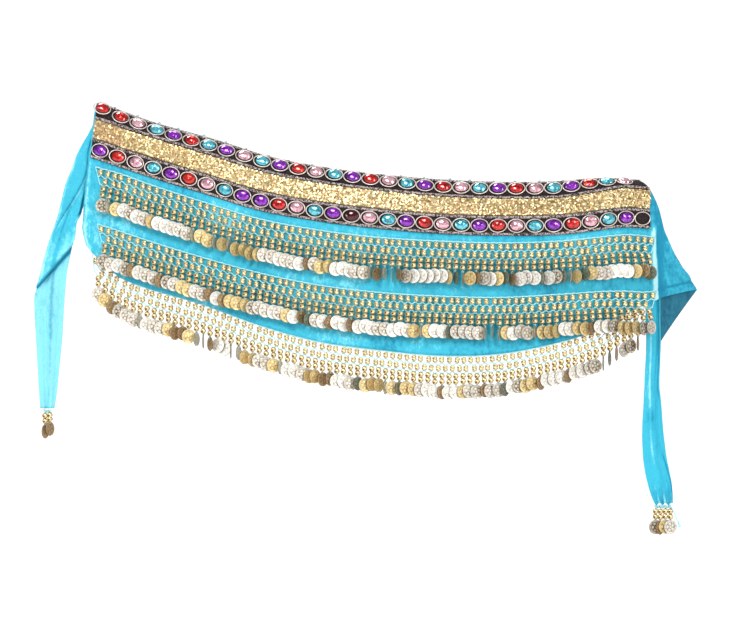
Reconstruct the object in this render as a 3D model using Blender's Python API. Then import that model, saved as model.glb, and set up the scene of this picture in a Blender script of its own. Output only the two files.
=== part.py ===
"""A belly dance hip scarf, hanging as it is worn.

A shaped velvet hip cloth curves round in front of the hips. Along its top run two ribbons of
oval stones with a sequin band between them. Three beaded nets hang on it, each with a row of
bead-and-coin strands, and a tie hangs from each end.

X runs along the scarf, Y away from the front, Z up. The origin is where the hips carry it:
on the inner face of the top band, at the middle of the front.
"""
import math
import random
from collections import namedtuple

import bmesh
import bpy
from mathutils import Vector

MM = 0.001

# Cloth and seams, in millimetres
CLOTH = 1.6
SEAM = 0.3
RIBBON = 22.0
BAND = 21.0
TOP_MARGIN = 1.4
FRONT_Y = -25.0

# Stones: one to a cell along the ribbon
STONE_PITCH = 20.4
STONE_LONG = 8.6
STONE_TALL = 7.2
STONE_RISE = 3.4
RIBBON_THICK = 1.5
BAND_THICK = 1.8
CROWN_SIZE = 0.62
STONE_MOST = 0.46
TRIM_START = -310.0
LOWER_STONES = 31
UPPER_STONES = 30
FLAP_COLUMNS = 4

# Nets and strands
NET_TALL = 18.7
NET_THICK = 1.4
NET_STAND = 0.7
STRANDS = 78
BEAD_HALF = 2.6
BEADS_LONG = 13.0
ROOT_DROP = 1.8
COIN_HALF = 7.7
COIN_TOP_HALF = 2.9
COIN_LOW_HALF = 3.4
COIN_THICK_HALF = 0.5
COIN_TOP_THICK_HALF = 0.8
COIN_CLEAR = 0.9
COIN_STAND = 7.4
COIN_TURN_MIN = 15

# The cloth across its width: how far back it lies, the height of each line on it, and how far
# each strip along the top leans back, in degrees. The upper ribbon bends along its stones.
Section = namedtuple(
    "Section", "across back low row_1 row_2 hem lean_low lean_band lean_mid lean_top"
)
SECTIONS = [
    Section(-321, 94, 50, 43.5, -21, -43, 13, 10, 5, 57),
    Section(-302, 87, 44, 36.5, -26, -64, 13, 10, 5, 57),
    Section(-277, 79, 35.5, 29.5, -34, -85, 13, 10, 25, 50),
    Section(-244, 70, 24.8, 17.5, -45, -98, 12, 10, 38, 47),
    Section(-189, 55.5, 8, -0.5, -62, -114, 11, 11, 34, 42),
    Section(-123, 40, -12, -20.5, -80, -138, 9, 12, 16, 50),
    Section(-57, 27, -24, -33, -93.5, -156, 6, 17, 8, 56),
    Section(9, 17, -32, -41, -101.5, -165, 6, 20, 8, 57),
    Section(75, 8.5, -37.5, -45, -105.5, -171, 5, 26, 20, 45),
    Section(141, 2.5, -39.5, -47, -107, -169, 4, 28, 8, 52),
    Section(207, 0.8, -38.5, -45, -103.5, -156, 2, 29, 10, 52),
    Section(251, 7, -33.5, -40.5, -100.5, -141, 1, 20, 32, 68),
    Section(278, 16, -30.4, -38, -100, -125.5, 0, 10, 54, 80),
    Section(300, 27, -31.5, -39.5, -101, -115, 0, 14, 54, 80),
    Section(321, 41, -32, -42, -97, -107, 0, 25, 54, 78),
    Section(350, 62, -32, -50, -82.5, -100, 0, 38, 52, 70),
    Section(361, 71, -32, -52, -77, -99, 0, 38, 52, 70),
]

# The two ends of the cloth at each line on it, and the ends of the trims there
Level = namedtuple("Level", "name left right trim_left trim_right")
LEVELS = [
    Level("edge", -303.5, 296, -302, 294),
    Level("stones", -305.5, 301, -303.5, 299),
    Level("band_top", -307, 307, -305, 305),
    Level("band_low", -309.5, 316, -307.5, 305),
    Level("low", -312.5, 321, -310, 306),
    Level("row_1", -313.5, 326, -310.5, 308),
    Level("below_1", -317, 338, -312, 310),
    Level("row_2", -319, 350, -313, 311),
    Level("below_2", -319.5, 354, -313, 312),
    Level("hem", -315.5, 359, -309, 312),
]

# The long lines of each trim: a row of the cloth's cells and a share down it
TRIM_GAP = 0.015
UPPER_LINES = ((0, TOP_MARGIN / (RIBBON / 2 + TOP_MARGIN)), (1, 0.0), (1, 1 - TRIM_GAP))
BAND_LINES = ((2, TRIM_GAP), (2, 1 - TRIM_GAP))
LOWER_LINES = ((3, TRIM_GAP), (3, 0.5), (3, 1 - TRIM_GAP))

# The nets: the line each hangs from, its two ends, and how much its lower edge draws in
Net = namedtuple("Net", "name line left right draw_in stand seed")
NETS = [
    Net("fringe_row_1", "row_1", -304, 311, 5, NET_STAND, 3),
    Net("fringe_row_2", "row_2", -302, 312, 5, NET_STAND, 8),
    Net("fringe_row_3", "hem", -309, 300, 3, -CLOTH + 0.1, 5),
]

# The ties: each row gives the two edges, their depth and the soft folds between them
TieRow = namedtuple("TieRow", "left_x left_z right_x right_z left_y right_y fold fold_at")
LEFT_TIE = [
    TieRow(-304.5, 91, -302.8, 91.5, 108, 109, 0, 0.5),
    TieRow(-311, 77, -306.5, 77, 103, 100, 0.5, 0.6),
    TieRow(-324.5, 53, -313.8, 55, 102, 94, 1.5, 0.7),
    TieRow(-331, 35, -315.5, 35, 102, 91, 3, 0.75),
    TieRow(-338, 18.5, -317.2, 16.5, 104, 91.8, 4, 0.6),
    TieRow(-343, -2, -319.2, 0, 105, 92.8, 4, 0.45),
    TieRow(-348, -21, -322.5, -13, 105, 95, 3.5, 0.35),
    TieRow(-356, -44, -325.5, -24, 104, 98, 2, 0.4),
    TieRow(-363, -68, -327, -37, 103, 100, -1, 0.45),
    TieRow(-369, -92.5, -329.5, -48, 101, 100, -3, 0.5),
    TieRow(-369.5, -96, -331, -52, 107, 106, -1, 0.5),
    TieRow(-372.5, -107, -336, -77, 106, 104, 2.5, 0.4),
    TieRow(-372, -130, -339.5, -115.5, 105, 103, 3, 0.4),
    TieRow(-370.5, -154, -341.5, -148.5, 104, 102, 2.5, 0.45),
    TieRow(-369, -181.5, -344, -178, 103, 102, 3, 0.5),
    TieRow(-367.5, -209, -347, -207, 103, 102, 3.5, 0.5),
    TieRow(-366, -229.5, -350, -229.5, 103, 102.5, 1.5, 0.5),
]
RIGHT_TIE = [
    TieRow(301, -98, 317.5, -98, 41.5, 46.5, 1, 0.5),
    TieRow(301.5, -130, 317.5, -130, 39.5, 45.5, 1.5, 0.5),
    TieRow(302, -159.5, 318, -159.5, 39.5, 45.5, 2, 0.55),
    TieRow(300, -201, 316.5, -201, 39.5, 45.5, 2, 0.6),
    TieRow(299, -223, 318.5, -223, 39.5, 45.5, 2, 0.6),
    TieRow(297.5, -251, 320.5, -251, 39.5, 45.5, 2.5, 0.55),
    TieRow(298, -277, 323.5, -277, 39.5, 45.5, 3, 0.5),
    TieRow(299, -289, 325.5, -289, 39.5, 45.5, 3, 0.5),
    TieRow(302.5, -309, 329.5, -309, 40.5, 45.5, 3, 0.5),
    TieRow(307, -324.5, 330.2, -324.5, 41.5, 44.5, 2.5, 0.5),
    TieRow(310.5, -334.5, 330.3, -334.5, 42, 44, 1.5, 0.5),
]
TIE_COLUMNS = 8
FOLD_WIDE = 0.17

# The back flap between the fold and the tie: its four corners and the bend of its lower edge
FLAP_FOLD_TOP = Vector((319.6, 42.6, -36))
FLAP_FOLD_LOW = Vector((357.5, 70.9, -99.5))
FLAP_SEAM_TOP = Vector((318.6, 46.5, -104))
FLAP_SEAM_LOW = Vector((319, 45.5, -158))
FLAP_BEND = Vector((-2.2, 0, -2.0))
FLAP_CELLS = 6

# The tassels: the left end of the head, its width, its top, its depth and each coin's turn
Tassel = namedtuple("Tassel", "name left wide top depth turns")
TASSELS = [
    Tassel("left_tassel", -363.5, 11, -230.2, 103.6, (66, 74)),
    Tassel("right_tassel", 309.5, 21.5, -335.2, 44, (28, 34, 38, 42)),
]
HEAD_TALL = 4.0
HEAD_THICK = 4.0

# Colours
VELVET = (0.0, 0.55, 0.82)
WRONG_SIDE = (0.03, 0.28, 0.36)
PALE_VELVET = (0.05, 0.66, 0.86)
DARK_RIBBON = (0.05, 0.04, 0.05)
GOLD_SEQUINS = (0.75, 0.52, 0.22)
GOLD_COINS = (0.78, 0.66, 0.42)


def clear_scene():
    for old in list(bpy.data.objects):
        bpy.data.objects.remove(old, do_unlink=True)


def material(name, colour, roughness, metallic):
    made = bpy.data.materials.new(name)
    made.use_nodes = True
    shader = made.node_tree.nodes["Principled BSDF"]
    shader.inputs["Base Color"].default_value = (*colour, 1.0)
    shader.inputs["Roughness"].default_value = roughness
    shader.inputs["Metallic"].default_value = metallic
    return made


def along(column, x):
    """A column of SECTIONS at x, on a smooth curve through its rows."""
    xs = [s.across for s in SECTIONS]
    ys = [getattr(s, column) for s in SECTIONS]
    x = min(max(x, xs[0]), xs[-1])
    k = max(i for i in range(len(xs) - 1) if xs[i] <= x)

    def slope(i):
        a, b = max(i - 1, 0), min(i + 1, len(xs) - 1)
        return (ys[b] - ys[a]) / (xs[b] - xs[a])

    step = xs[k + 1] - xs[k]
    t = (x - xs[k]) / step
    start = (1 + 2 * t) * (1 - t) ** 2 * ys[k] + t * t * (3 - 2 * t) * ys[k + 1]
    return start + step * (t * (1 - t) ** 2 * slope(k) - t * t * (1 - t) * slope(k + 1))


def front(x):
    """Where the hanging cloth's outer face lies at x."""
    return Vector((x, FRONT_Y + along("back", x), 0))


def facing(x):
    """The level direction that the outer face looks in at x, and the one along the cloth."""
    tangent = (front(x + 1) - front(x - 1)).normalized()
    return Vector((tangent.y, -tangent.x, 0)), tangent


def level_point(name, x):
    """A point of the outer face on one of the cloth's lines."""
    rise = math.hypot(1, (along("low", x + 1) - along("low", x - 1)) / 2)
    point = front(x)
    point.z = along("low", x)
    strips = (
        ("lean_low", RIBBON),
        ("lean_band", BAND),
        ("lean_mid", RIBBON / 2),
        ("lean_top", RIBBON / 2 + TOP_MARGIN),
    )
    above = {"band_low": 1, "band_top": 2, "stones": 3, "edge": 4}.get(name, 0)
    for column, wide in strips[:above]:
        lean = math.radians(along(column, x))
        point += Vector((0, wide * math.sin(lean), wide * math.cos(lean) * rise))
    if name in ("row_1", "row_2", "hem"):
        point.z = along(name, x)
    if name == "below_1":
        point.z = (along("row_1", x) + along("row_2", x)) / 2
    if name == "below_2":
        point.z = (along("row_2", x) + along("hem", x)) / 2
    return point


def trim_columns():
    """The x of each stone's two sides along the low line, at an even pitch on the curve."""
    xs = [TRIM_START]
    for _ in range(LOWER_STONES):
        _, tangent = facing(xs[-1])
        _, ahead = facing(xs[-1] + STONE_PITCH * tangent.x)
        xs.append(xs[-1] + STONE_PITCH * (tangent.x + ahead.x) / 2)
    return xs


def panel_outside():
    """The hip cloth's outer face, as rows of points from its top edge to its hem."""
    low = trim_columns()
    rows = []
    for level in LEVELS:
        share = [(x - low[0]) / (low[-1] - low[0]) for x in low]
        wide = level.trim_right - level.trim_left
        xs = [level.left] + [level.trim_left + s * wide for s in share]
        gap = level.right - level.trim_right
        xs += [level.trim_right + gap * (k + 1) / FLAP_COLUMNS for k in range(FLAP_COLUMNS)]
        rows.append([level_point(level.name, x) for x in xs])
    return rows


def moved(rows, distance):
    """A copy of a face of points, moved along its own normals, outward where positive."""
    tall, wide = len(rows), len(rows[0])
    result = []
    for j in range(tall):
        line = []
        for i in range(wide):
            across = rows[j][min(i + 1, wide - 1)] - rows[j][max(i - 1, 0)]
            down = rows[min(j + 1, tall - 1)][i] - rows[max(j - 1, 0)][i]
            normal = down.cross(across).normalized()
            line.append(rows[j][i] + normal * distance)
        result.append(line)
    return result


def in_cell(rows, i, j, a, b):
    """A point of a face's cell, a across and b down it, on the cell's two triangles."""
    p, q = rows[j][i], rows[j][i + 1]
    r, s = rows[j + 1][i], rows[j + 1][i + 1]
    if a >= b:
        return p + (q - p) * a + (s - q) * b
    return p + (r - p) * b + (s - r) * a


class Body:
    """Points and faces of one closed body."""

    def __init__(self):
        self.points = []
        self.faces = []

    def add(self, point):
        self.points.append(point * MM)
        return len(self.points) - 1

    def face(self, *corners):
        self.faces.append(corners)

    def quad(self, a, b, c, d):
        """Two triangles of the quad a, b, c, d, split from a to c."""
        self.face(a, b, c)
        self.face(a, c, d)

    def grid(self, rows):
        ids = [[self.add(p) for p in line] for line in rows]
        for upper, lower in zip(ids, ids[1:]):
            for i in range(len(upper) - 1):
                self.quad(upper[i], upper[i + 1], lower[i + 1], lower[i])
        return ids

    def make(self, name, finish, smooth=40):
        mesh = bpy.data.meshes.new(name)
        mesh.from_pydata(self.points, [], self.faces)
        form = bmesh.new()
        form.from_mesh(mesh)
        bmesh.ops.recalc_face_normals(form, faces=form.faces)
        form.to_mesh(mesh)
        form.free()
        mesh.materials.append(finish)
        mesh.shade_smooth()
        mesh.set_sharp_from_angle(angle=math.radians(smooth))
        made = bpy.data.objects.new(name, mesh)
        bpy.context.scene.collection.objects.link(made)
        return made


def rim(ids):
    """The outline of a grid of points, once round."""
    top = ids[0]
    right = [line[-1] for line in ids[1:]]
    bottom = ids[-1][-2::-1]
    left = [line[0] for line in ids[-2:0:-1]]
    return top + right + bottom + left


def wall(name, outside, inside, finish):
    """A closed sheet between two faces of points."""
    body = Body()
    loops = [rim(body.grid(face)) for face in (outside, inside)]
    outer, inner = loops
    for k, here in enumerate(outer):
        after = (k + 1) % len(outer)
        body.quad(here, outer[after], inner[after], inner[k])
    return body.make(name, finish)


def hip_panel(outside):
    return wall("hip_panel", outside, moved(outside, -CLOTH), material("velvet", VELVET, 0.7, 0.0))


def strip_rows(outside, lines):
    """The long lines of a strip; each is a row of the panel's cells and a share down it."""
    columns = range(1, LOWER_STONES + 2)
    return [
        [outside[row][i] + (outside[row + 1][i] - outside[row][i]) * share for i in columns]
        for row, share in lines
    ]


def gem_trim(name, outside, lines, stones):
    """A ribbon with a raised stone in each cell, on its middle line."""
    body = Body()
    under = body.grid(strip_rows(moved(outside, SEAM), lines))
    span = strip_rows(moved(outside, SEAM + RIBBON_THICK), lines)
    over = [[body.add(p) for p in line] for line in span]
    for k in range(LOWER_STONES):
        if k < stones:
            stone(body, span, over, k)
            continue
        for upper, lower in zip(over, over[1:]):
            body.quad(upper[k], upper[k + 1], lower[k + 1], lower[k])
    outer, inner = rim(over), rim(under)
    for k, here in enumerate(outer):
        after = (k + 1) % len(outer)
        body.quad(here, outer[after], inner[after], inner[k])
    return body.make(name, material(name + "_ribbon", DARK_RIBBON, 0.6, 0.1))


def stone(body, span, over, k):
    """A stone in its oval setting, raised from one cell of a ribbon's upper face.

    span holds the ribbon's three long lines and over the same points' numbers in the body.
    """
    above, middle, below = span
    across = middle[k + 1] - middle[k]
    lift = (below[k] - above[k]).cross(across).normalized()
    up = lift.cross(across).normalized()
    upper_tall = (middle[k] - above[k]).length
    lower_tall = (below[k] - middle[k]).length
    centre = (middle[k] + middle[k + 1]) / 2
    long = min(STONE_LONG, STONE_MOST * across.length)
    base, crown = [], []
    for turn in range(6):
        angle = math.radians(60 * turn)
        a = 0.5 + long / across.length * math.cos(angle)
        rise = STONE_TALL * math.sin(angle)
        if turn < 3:
            point = in_cell(span, k, 0, a, 1 - rise / upper_tall)
        else:
            point = in_cell(span, k, 1, a, -rise / lower_tall)
        base.append(body.add(point))
        flat = across.normalized() * (long * math.cos(angle)) + up * rise
        crown.append(body.add(centre + flat * CROWN_SIZE + lift * STONE_RISE))
    corners = [over[0][k + 1], over[0][k], over[1][k], over[2][k], over[2][k + 1], over[1][k + 1]]
    for turn, corner in enumerate(corners):
        before = (turn - 1) % 6
        body.quad(base[turn], base[(turn + 1) % 6], corner, corners[before])
    for turn in range(6):
        after = (turn + 1) % 6
        body.quad(base[turn], base[after], crown[after], crown[turn])
    body.face(*crown)


def sequin_band(outside):
    faces = [
        strip_rows(moved(outside, distance), BAND_LINES)
        for distance in (SEAM + BAND_THICK, SEAM)
    ]
    return wall("sequin_band", *faces, material("sequins", GOLD_SEQUINS, 0.35, 0.7))


def coin_turns(count, seed):
    """How far each coin along a row is turned, in degrees, with none through its neighbour.

    A turn under 90 sets a coin's right edge back and one over 90 sets its left edge back. Two
    neighbours may lie on different sides only where both are nearly edge on.
    """
    chance = random.Random(seed)
    turns = []
    side = 1
    while len(turns) < count:
        if chance.random() < 0.55:
            flat = chance.uniform(COIN_TURN_MIN, 24)
            run = [flat + chance.uniform(0, 4) for _ in range(chance.randint(2, 4))]
        else:
            run = [chance.uniform(30, 72) for _ in range(chance.randint(1, 3))]
        if chance.random() < 0.25:
            run += [80]
        turns += [turn if side > 0 else 180 - turn for turn in run]
        if run[-1] == 80:
            side = -side
            turns.append(80 if side > 0 else 100)
    return turns[:count]


def strand(body, root, corners, direction, stand, turn, shift):
    """Two beads and a coin, hanging plumb from one cell of a net's lower edge.

    root is the middle of that cell, corners its four points, direction the way the net faces
    and the way along it, stand how far the coin hangs in front of the root.
    """
    out, tangent = direction
    angle = math.radians(turn)
    coin_top = BEADS_LONG + shift
    sections = (
        (ROOT_DROP, BEAD_HALF, BEAD_HALF - 0.3, 0.15, 0.0),
        (coin_top, COIN_TOP_HALF, COIN_TOP_THICK_HALF, 1.0, 1.0),
        (coin_top + COIN_HALF, COIN_HALF, COIN_THICK_HALF, 1.0, 1.0),
        (coin_top + 2 * COIN_HALF, COIN_LOW_HALF, COIN_THICK_HALF, 1.0, 1.0),
    )
    upper = corners
    for drop, wide, thick, share, turned in sections:
        centre = root + out * (stand * share) - Vector((0, 0, drop))
        lie = angle if turn <= 90 else angle - math.pi
        lie *= turned
        u = tangent * math.cos(lie) - out * math.sin(lie)
        v = out * math.cos(lie) + tangent * math.sin(lie)
        lower = [
            body.add(centre - u * wide + v * thick),
            body.add(centre + u * wide + v * thick),
            body.add(centre + u * wide - v * thick),
            body.add(centre - u * wide - v * thick),
        ]
        for k in range(4):
            after = (k + 1) % 4
            body.quad(upper[k], upper[after], lower[after], lower[k])
        upper = lower
    body.face(*upper)


def hanging_row(name, stations, strands, finish):
    """A narrow strip with a strand on each of its cells.

    A station is the strip's section there: upper front, upper back, lower front, lower back.
    A strand is its direction, stand, turn and shift.
    """
    body = Body()
    ids = [[body.add(p) for p in station] for station in stations]
    for k, (here, after) in enumerate(zip(ids, ids[1:])):
        body.quad(here[0], after[0], after[2], here[2])
        body.quad(here[1], here[3], after[3], after[1])
        body.quad(here[0], here[1], after[1], after[0])
        ring = (here[2], after[2], after[3], here[3])
        lows = (stations[k][2], stations[k + 1][2], stations[k + 1][3], stations[k][3])
        root = sum(lows, Vector()) / 4
        strand(body, root, ring, *strands[k])
    for end in (ids[0], ids[-1]):
        body.quad(end[0], end[2], end[3], end[1])
    return body.make(name, finish, smooth=30)


def fringe(net):
    """One net and its strands, following the hip cloth."""
    stations = []
    for k in range(STRANDS + 1):
        share = k / STRANDS
        x_top = net.left + (net.right - net.left) * share
        x_low = x_top + net.draw_in * (1 - 2 * share)
        top_z = along(net.line, x_top) - (SEAM if net.line == "hem" else 0)
        low_z = along(net.line, x_low) - NET_TALL
        station = []
        for x, z in ((x_top, top_z), (x_low, low_z)):
            out, _ = facing(x)
            for stand in (net.stand + NET_THICK, net.stand):
                station.append(front(x) + out * stand + Vector((0, 0, z)))
        stations.append(station)
    chance = random.Random(net.seed + 1)
    strands = []
    for k, turn in enumerate(coin_turns(STRANDS, net.seed)):
        middle = (stations[k][2] + stations[k + 1][2]) / 2
        stand = coin_stand(net, middle.x, turn)
        strands.append((facing(middle.x), stand, turn, chance.uniform(-1.2, 1.2)))
    return hanging_row(net.name, stations, strands, material(net.name, GOLD_COINS, 0.35, 0.8))


def coin_stand(net, x, turn):
    """How far in front of its net a coin hangs, so that it clears what lies behind it."""
    if net.line == "hem":
        return -1.0
    reach = COIN_HALF * math.sin(math.radians(turn)) + COIN_CLEAR
    return max(COIN_STAND - net.stand, reach)


def tie(name, rows, finish):
    """A tie end, as a sheet through its rows, with one soft fold along it."""
    outside = []
    for row in rows:
        line = []
        for i in range(TIE_COLUMNS + 1):
            a = i / TIE_COLUMNS
            x = row.left_x + (row.right_x - row.left_x) * a
            z = row.left_z + (row.right_z - row.left_z) * a
            y = row.left_y + (row.right_y - row.left_y) * a
            y += row.fold * math.exp(-(((a - row.fold_at) / FOLD_WIDE) ** 2))
            y -= 0.5 * abs(row.fold) * math.sin(math.pi * a)
            line.append(Vector((x, y + FRONT_Y, z)))
        outside.append(line)
    return wall(name, outside, moved(outside, -CLOTH), finish)


def right_back_flap():
    """The cloth past the fold, as a patch between the fold and the tie."""
    outside = []
    shift = Vector((0, FRONT_Y, 0))
    for j in range(FLAP_CELLS + 1):
        b = j / FLAP_CELLS
        fold = FLAP_FOLD_TOP.lerp(FLAP_FOLD_LOW, b)
        seam = FLAP_SEAM_TOP.lerp(FLAP_SEAM_LOW, b)
        line = []
        for i in range(FLAP_CELLS + 1):
            a = i / FLAP_CELLS
            bend = FLAP_BEND * (b * 4 * a * (1 - a))
            line.append(seam.lerp(fold, a) + bend + shift)
        outside.append(line)
    finish = material("velvet_wrong_side", WRONG_SIDE, 0.8, 0.0)
    return wall("right_back_flap", outside, moved(outside, -CLOTH), finish)


def tassel(kind):
    """A small head under a tie end, with its few strands."""
    cells = len(kind.turns)
    stations = []
    for k in range(cells + 1):
        x = kind.left + kind.wide * k / cells
        y = kind.depth + FRONT_Y
        station = []
        for z in (kind.top, kind.top - HEAD_TALL):
            for side in (-1, 1):
                station.append(Vector((x, y + side * HEAD_THICK / 2, z)))
        stations.append(station)
    ahead = (Vector((0, -1, 0)), Vector((1, 0, 0)))
    strands = [(ahead, 0.0, turn, 0.0) for turn in kind.turns]
    return hanging_row(kind.name, stations, strands, material(kind.name, GOLD_COINS, 0.35, 0.8))


def main():
    clear_scene()
    outside = panel_outside()
    hip_panel(outside)
    gem_trim("upper_gem_trim", outside, UPPER_LINES, UPPER_STONES)
    sequin_band(outside)
    gem_trim("lower_gem_trim", outside, LOWER_LINES, LOWER_STONES)
    for net in NETS:
        fringe(net)
    tie("left_tie", LEFT_TIE, material("left_tie_velvet", PALE_VELVET, 0.7, 0.0))
    tie("right_tie", RIGHT_TIE, material("right_tie_velvet", PALE_VELVET, 0.7, 0.0))
    right_back_flap()
    for kind in TASSELS:
        tassel(kind)


main()
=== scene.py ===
"""The looks of a belly dance hip scarf, laid out as a Blender add-on.

Every shape follows the hip cloth: a point on it is named by how far along its trims it lies
(0 to 1, with the left margin below 0 and the right flap above 1) and how far down it lies, in
millimetres from its top edge. Lengths inside the functions are in millimetres.
"""

import math
import random
from collections import namedtuple

import bmesh
import bpy
import numpy as np
from bpy.props import FloatProperty, FloatVectorProperty, PointerProperty
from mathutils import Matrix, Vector


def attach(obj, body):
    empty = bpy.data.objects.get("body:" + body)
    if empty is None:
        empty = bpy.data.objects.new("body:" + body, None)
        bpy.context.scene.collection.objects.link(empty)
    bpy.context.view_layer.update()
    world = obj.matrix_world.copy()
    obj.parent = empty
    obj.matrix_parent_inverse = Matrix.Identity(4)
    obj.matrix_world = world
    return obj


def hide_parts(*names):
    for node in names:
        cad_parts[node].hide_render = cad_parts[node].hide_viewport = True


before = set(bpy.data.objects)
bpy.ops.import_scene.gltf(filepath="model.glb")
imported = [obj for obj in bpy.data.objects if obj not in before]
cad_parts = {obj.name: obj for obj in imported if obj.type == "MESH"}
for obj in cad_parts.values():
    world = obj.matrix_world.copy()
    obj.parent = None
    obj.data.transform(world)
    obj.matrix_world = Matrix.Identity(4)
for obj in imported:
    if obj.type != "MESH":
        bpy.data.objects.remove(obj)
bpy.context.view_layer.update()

bl_info = {
    "name": "Belly dance hip scarf",
    "version": (1, 0, 0),
    "blender": (4, 5, 0),
    "location": "3D View > Sidebar > Scarf",
    "description": "Dresses a hip scarf with velvet, stones, sequins, bead nets and coins",
    "category": "Object",
}

MM = 0.001
BODY = "root"

# The cloth, as its solids have it, but with the left tie's root and the flap's seam moved a little
SEAM = 0.3
RIBBON = 22.0
BAND = 21.0
TOP_MARGIN = 1.4
FRONT_Y = -25.0
STONE_PITCH = 20.4
TRIM_START = -310.0
LOWER_STONES = 31
UPPER_STONES = 30

Section = namedtuple(
    "Section", "across back low row_1 row_2 hem lean_low lean_band lean_mid lean_top"
)
SECTIONS = [
    Section(-321, 94, 50, 43.5, -21, -43, 13, 10, 5, 57),
    Section(-302, 87, 44, 36.5, -26, -64, 13, 10, 5, 57),
    Section(-277, 79, 35.5, 29.5, -34, -85, 13, 10, 25, 50),
    Section(-244, 70, 24.8, 17.5, -45, -98, 12, 10, 38, 47),
    Section(-189, 55.5, 8, -0.5, -62, -114, 11, 11, 34, 42),
    Section(-123, 40, -12, -20.5, -80, -138, 9, 12, 16, 50),
    Section(-57, 27, -24, -33, -93.5, -156, 6, 17, 8, 56),
    Section(9, 17, -32, -41, -101.5, -165, 6, 20, 8, 57),
    Section(75, 8.5, -37.5, -45, -105.5, -171, 5, 26, 20, 45),
    Section(141, 2.5, -39.5, -47, -107, -169, 4, 28, 8, 52),
    Section(207, 0.8, -38.5, -45, -103.5, -156, 2, 29, 10, 52),
    Section(251, 7, -33.5, -40.5, -100.5, -141, 1, 20, 32, 68),
    Section(278, 16, -30.4, -38, -100, -125.5, 0, 10, 54, 80),
    Section(300, 27, -31.5, -39.5, -101, -115, 0, 14, 54, 80),
    Section(321, 41, -32, -42, -97, -107, 0, 25, 54, 78),
    Section(350, 62, -32, -50, -82.5, -100, 0, 38, 52, 70),
    Section(361, 71, -32, -52, -77, -99, 0, 38, 52, 70),
]
SECTION_TABLE = np.array(SECTIONS, float)

# The lines on the cloth: how far down each lies at the middle, and its ends
Level = namedtuple("Level", "name down left right trim_left trim_right")
LEVELS = [
    Level("edge", 0, -303.5, 296, -302, 294),
    Level("stones", 12.4, -305.5, 301, -303.5, 299),
    Level("band_top", 23.4, -307, 307, -305, 305),
    Level("band_low", 44.4, -309.5, 316, -307.5, 305),
    Level("low", 66.4, -312.5, 321, -310, 306),
    Level("row_1", 74.5, -313.5, 326, -310.5, 308),
    Level("below_1", 105, -317, 338, -312, 310),
    Level("row_2", 136, -319, 350, -313, 311),
    Level("below_2", 166, -319.5, 354, -313, 312),
    Level("hem", 196, -315.5, 359, -309, 312),
]
DOWN = {level.name: level.down for level in LEVELS}

# The nets, as their solids have them
Net = namedtuple("Net", "name line left right draw_in stand seed coins")
NETS = [
    Net(
        "fringe_row_1", "row_1", -304, 311, 5, 2.4, 3,
        "KIGWKWSOWW" "WSSIGGIOIO" "OOOSSWSSWB" "SGOWWWSSIB"
        "IIBSWWWWWO" "DIGBSWGDBW" "SWDWKDIODG" "SSWWWOBD",
    ),
    Net(
        "fringe_row_2", "row_2", -302, 312, 5, 2.4, 8,
        "KSWKBWSSBK" "SGGSSBWBGG" "OKSSWSGWBD" "SWBWWBWWWS"
        "SWWWGIGWWD" "SSSSIIIGWS" "SIGGOWWGGB" "WWKGGGKS",
    ),
    Net(
        "fringe_row_3", "hem", -309, 300, 3, -0.8, 5,
        "SGBKSSIWSS" "GBBGIIBWWI" "IOOSSGIWWS" "OOBBWWSDGO"
        "OIGDGGSWWB" "WWGSSBSSDW" "KGGBWWWBWW" "SKIDBSKB",
    ),
]
STRANDS = 78
NET_TALL = 18.7
BEADS_LONG = 13.0
COIN_HALF = 7.7
COIN_STAND = 7.4

# Where the photograph is taken from
PIXEL = 1.1
VIEW_MIDDLE = (3.3, -126.5)
CAMERA_FAR = 30000.0
FLOOR_Z = -490.0

# The least part of its width by its length that a sheet's worked-out area is held to
LEAST_AREA = 0.31
# The dark of plated metal: patina in the coins' hollows, and painted shade and painted dark reflections on
# the beads and at the coins' edges
DIRT_AND_SHADE = (0.16, 0.11, 0.06)
WHITE = (1.0, 1.0, 1.0)


# Numbers and curves

def smooth(places, values, at):
    """Values at each place of at, on a smooth curve through values; values may hold one row
    for each point of at, as (places, points, 3)."""
    places = np.asarray(places, float)
    values = np.asarray(values, float)
    at = np.clip(np.asarray(at, float), places[0], places[-1])
    last = len(places) - 1
    before = np.clip(np.arange(last + 1) - 1, 0, last)
    after = np.clip(np.arange(last + 1) + 1, 0, last)
    gap = places[after] - places[before]
    shape = (-1,) + (1,) * (values.ndim - 1)
    slope = (values[after] - values[before]) / gap.reshape(shape)
    k = np.clip(np.searchsorted(places, at, "right") - 1, 0, last - 1)
    step = places[k + 1] - places[k]
    t = (at - places[k]) / step
    if values.ndim > 1:
        t, step = t[:, None], step[:, None]
    if values.ndim == 3:
        point = np.arange(len(at))
        low, high = values[k, point], values[k + 1, point]
        rise, fall = slope[k, point], slope[k + 1, point]
    else:
        low, high, rise, fall = values[k], values[k + 1], slope[k], slope[k + 1]
    start = (1 + 2 * t) * (1 - t) ** 2 * low + t * t * (3 - 2 * t) * high
    return start + step * (t * (1 - t) ** 2 * rise - t * t * (1 - t) * fall)


def ease(low, high, x):
    """0 below low, 1 above high, and a soft step between them."""
    t = np.clip((np.asarray(x, float) - low) / (high - low), 0, 1)
    return t * t * (3 - 2 * t)


def bump(x, middle, wide):
    """A soft ridge of height 1."""
    return np.exp(-(((np.asarray(x, float) - middle) / wide) ** 2))


def unit(vectors):
    """The vectors, each made one long."""
    return vectors / np.maximum(np.linalg.norm(vectors, axis=-1, keepdims=True), 1e-9)


def along(column, x):
    """A column of SECTIONS at each x."""
    return smooth(SECTION_TABLE[:, 0], SECTION_TABLE[:, Section._fields.index(column)], x)


def front(x, z=0.0):
    """Points of the hanging cloth's outer face at each x."""
    x = np.asarray(x, float)
    return np.stack([x, FRONT_Y + along("back", x), np.broadcast_to(z, x.shape)], -1)


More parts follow.
